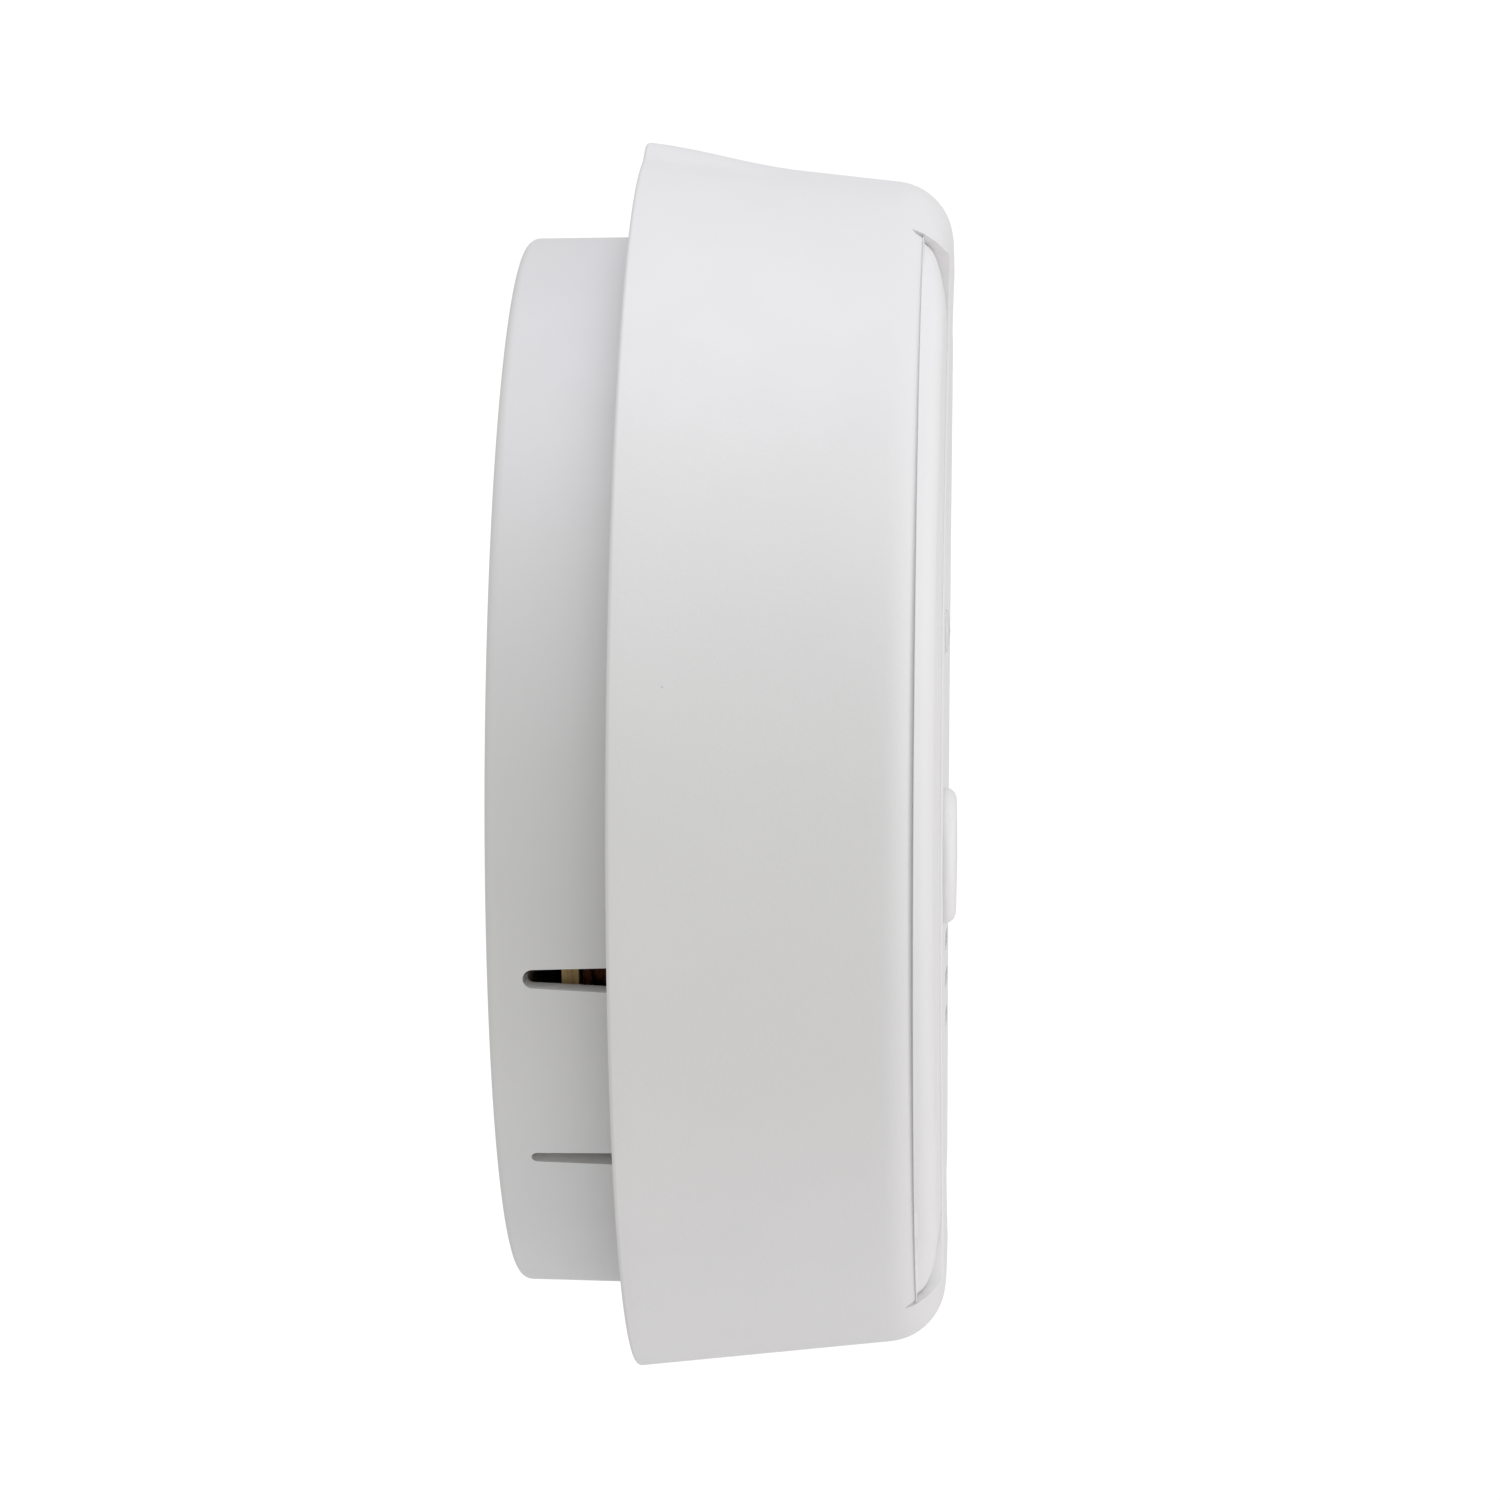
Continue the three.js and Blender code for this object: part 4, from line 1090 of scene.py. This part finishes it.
def can_capacitor(node):
    """Sleeved can with a rolled groove and a scored metal top."""
    low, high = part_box(node)
    centre = ((low.y + high.y) / 2 / MM, (low.z + high.z) / 2 / MM)
    radius, top = (high.y - low.y) / 2 / MM, high.x / MM
    corners = [
        (0, ON_BOARD, 0),
        (radius, ON_BOARD, 0.2),
        (radius, ON_BOARD + 1, 0.2),
        (radius - 0.3, ON_BOARD + 1.4, 0.15),
        (radius, ON_BOARD + 1.8, 0.2),
        (radius, top, 0.35),
        (radius - 0.6, top, 0.05),
        (radius - 0.65, top - 0.15, 0),
        (0, top - 0.15, 0),
    ]
    can = lathe(node + "_fine", rounded(corners, 4), SMALL, centre)
    finished(can, "base", "capacitor_sleeve", SLEEVE, node)
    return scored_top(node + "_top", centre, radius - 0.75, top)


def scored_top(name, centre, radius, top):
    """The can's metal top, scored with a cross."""
    across, up = centre
    arm, half = radius - 0.15, 0.12
    bars = [
        prism("bar", rectangle(across - arm, across + arm, up - half, up + half), top - 0.16, top - 0.02),
        prism("bar", rectangle(across - half, across + half, up - arm, up + arm), top - 0.16, top - 0.05),
    ]
    profile = [(0, top - 0.2), (radius, top - 0.2), (radius, top - 0.08), (0, top - 0.08)]
    plate = cut(lathe("plate", profile, SMALL, centre), *bars)
    plate.name = name
    return finished(plate, "base", "steel", SOLDER)


def choke_coil():
    """Drum core with a winding of dipped wire between its flanges."""
    low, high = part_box("choke_coil")
    centre = ((low.y + high.y) / 2 / MM, (low.z + high.z) / 2 / MM)
    radius, top = (high.y - low.y) / 2 / MM, high.x / MM
    corners = [
        (0, ON_BOARD, 0),
        (radius, ON_BOARD, 0.2),
        (radius, ON_BOARD + 0.8, 0.2),
        (radius - 0.7, ON_BOARD + 0.9, 0),
        (radius - 0.7, top - 0.9, 0),
        (radius, top - 0.8, 0.2),
        (radius, top, 0.2),
        (0, top, 0),
    ]
    core = lathe("choke_coil_core", rounded(corners, 4), SMALL, centre)
    finished(core, "base", "brown_coil", BROWN, "choke_coil")
    points = helix(centre, radius - 0.55, ON_BOARD + 1.15, top - 1.15, turns=9, steps=24)
    winding = wire("choke_coil_winding", points, 0.2, 6)
    return finished(winding, "base", "brown_coil", BROWN, sharp=60)


# ---- studio ----
def pale_floor():
    radius, level, sides = 1.2, -0.3, 64
    floor = bpy.data.objects.new("floor", bpy.data.meshes.new("floor"))
    angles = [2 * math.pi * k / sides for k in range(sides)]
    rim = [(radius * math.cos(angle), radius * math.sin(angle), level) for angle in angles]
    floor.data.from_pydata(rim, [], [list(range(sides))])
    bpy.context.scene.collection.objects.link(floor)
    pale = bpy.data.materials.new("pale_floor")
    pale.use_nodes = True
    surface = pale.node_tree.nodes["Principled BSDF"]
    surface.inputs["Base Color"].default_value = (0.9, 0.9, 0.9, 1)
    surface.inputs["Roughness"].default_value = 0.8
    floor.data.materials.append(pale)


def white_surroundings():
    """A plain white backdrop for the camera, and a softer, slightly warm light from all round."""
    world = bpy.data.worlds.new("white_studio")
    bpy.context.scene.world = world
    world.use_nodes = True
    tree = world.node_tree
    ambient = tree.nodes["Background"]
    ambient.inputs["Color"].default_value = (1.0, 0.993, 0.93, 1)
    ambient.inputs["Strength"].default_value = 0.52
    seen = tree.nodes.new("ShaderNodeBackground")
    seen.inputs["Color"].default_value = (1, 1, 1, 1)
    seen.inputs["Strength"].default_value = 1.05
    ray = tree.nodes.new("ShaderNodeLightPath")
    choose = tree.nodes.new("ShaderNodeMixShader")
    tree.links.new(ray.outputs["Is Camera Ray"], choose.inputs["Fac"])
    tree.links.new(ambient.outputs["Background"], choose.inputs[1])
    tree.links.new(seen.outputs["Background"], choose.inputs[2])
    tree.links.new(choose.outputs["Shader"], tree.nodes["World Output"].inputs["Surface"])


def studio():
    """Pale floor, white surroundings and soft lights from above, the front, the face side and low down."""
    pale_floor()
    white_surroundings()
    area_light("top_softbox", (0.03, -0.1, 0.9), (0.02, 0, 0), 0.9, 3.4, (0.9, 0.865, 1.0))
    area_light("front_softbox", (0.05, -0.6, 0.7), (0.02, 0, 0), 0.6, 0.93, (0.87, 0.93, 1.0))
    area_light("face_softbox", (0.8, -0.25, 0.15), (0.02, 0, 0), 0.6, 1.75, (0.91, 0.95, 1.0))
    area_light("low_softbox", (0.6, -0.08, -0.16), (0.03, 0, -0.03), 0.24, 0.34, (1.0, 0.85, 0.97))


def area_light(name, place, target, size, power, colour):
    """A round soft light, in metres and watts, that faces its target."""
    light = bpy.data.lights.new(name, "AREA")
    light.shape = "DISK"
    light.size = size
    light.energy = power
    light.color = colour
    lamp = bpy.data.objects.new(name, light)
    lamp.location = place
    lamp.rotation_mode = "QUATERNION"
    lamp.rotation_quaternion = (Vector(target) - Vector(place)).to_track_quat("-Z", "Y")
    bpy.context.scene.collection.objects.link(lamp)


def camera():
    """Side view from slightly above, square to the round axis but for a small turn and roll."""
    place = Vector((0.04997, -0.60927, 0.00102))  # metres, before the camera is raised
    raised, turned, rolled = -2.0, 2.614, -0.433  # degrees about X, Z and Y
    data = bpy.data.cameras.new("camera")
    data.sensor_width = 36
    data.lens = 145.8
    data.clip_start, data.clip_end = 0.01, 20
    made = bpy.data.objects.new("camera", data)
    height = Matrix.Rotation(math.radians(raised), 3, "X")
    made.location = height @ place
    turn = Matrix.Rotation(math.radians(turned), 3, "Z")
    roll = Matrix.Rotation(math.radians(rolled), 3, "Y")
    made.rotation_mode = "QUATERNION"
    level = Matrix(((1, 0, 0), (0, 0, -1), (0, 1, 0)))
    made.rotation_quaternion = (height @ turn @ roll @ level).to_quaternion()
    bpy.context.scene.collection.objects.link(made)
    bpy.context.scene.camera = made
    bpy.context.scene.view_settings.view_transform = "Standard"


camera()
studio()
front_cover()
face_insert("face_insert_near_panel", -1, "face_insert_near")
face_insert("face_insert_far_panel", 1, "face_insert_far")
test_button()
light_pipe()
button_guide()
button_spring()
rear_housing()
circuit_board()
solder_joints()
turned_parts()
domed_part("indicator_led", LIGHT, ON_BOARD, 4.7, "red_lamp", RED)
domed_part("ir_emitter", (CHAMBER[0] - 6, CHAMBER[1] + 4), 12.3, 4.7, "clear_plastic", CLEAR)
domed_part("photodiode", (CHAMBER[0] + 6, CHAMBER[1] + 3), 12.3, 4.7, "black_plastic", BLACK)
insect_screen()
battery()
can_capacitor("capacitor_1")
can_capacitor("capacitor_2")
choke_coil()
refined_parts()
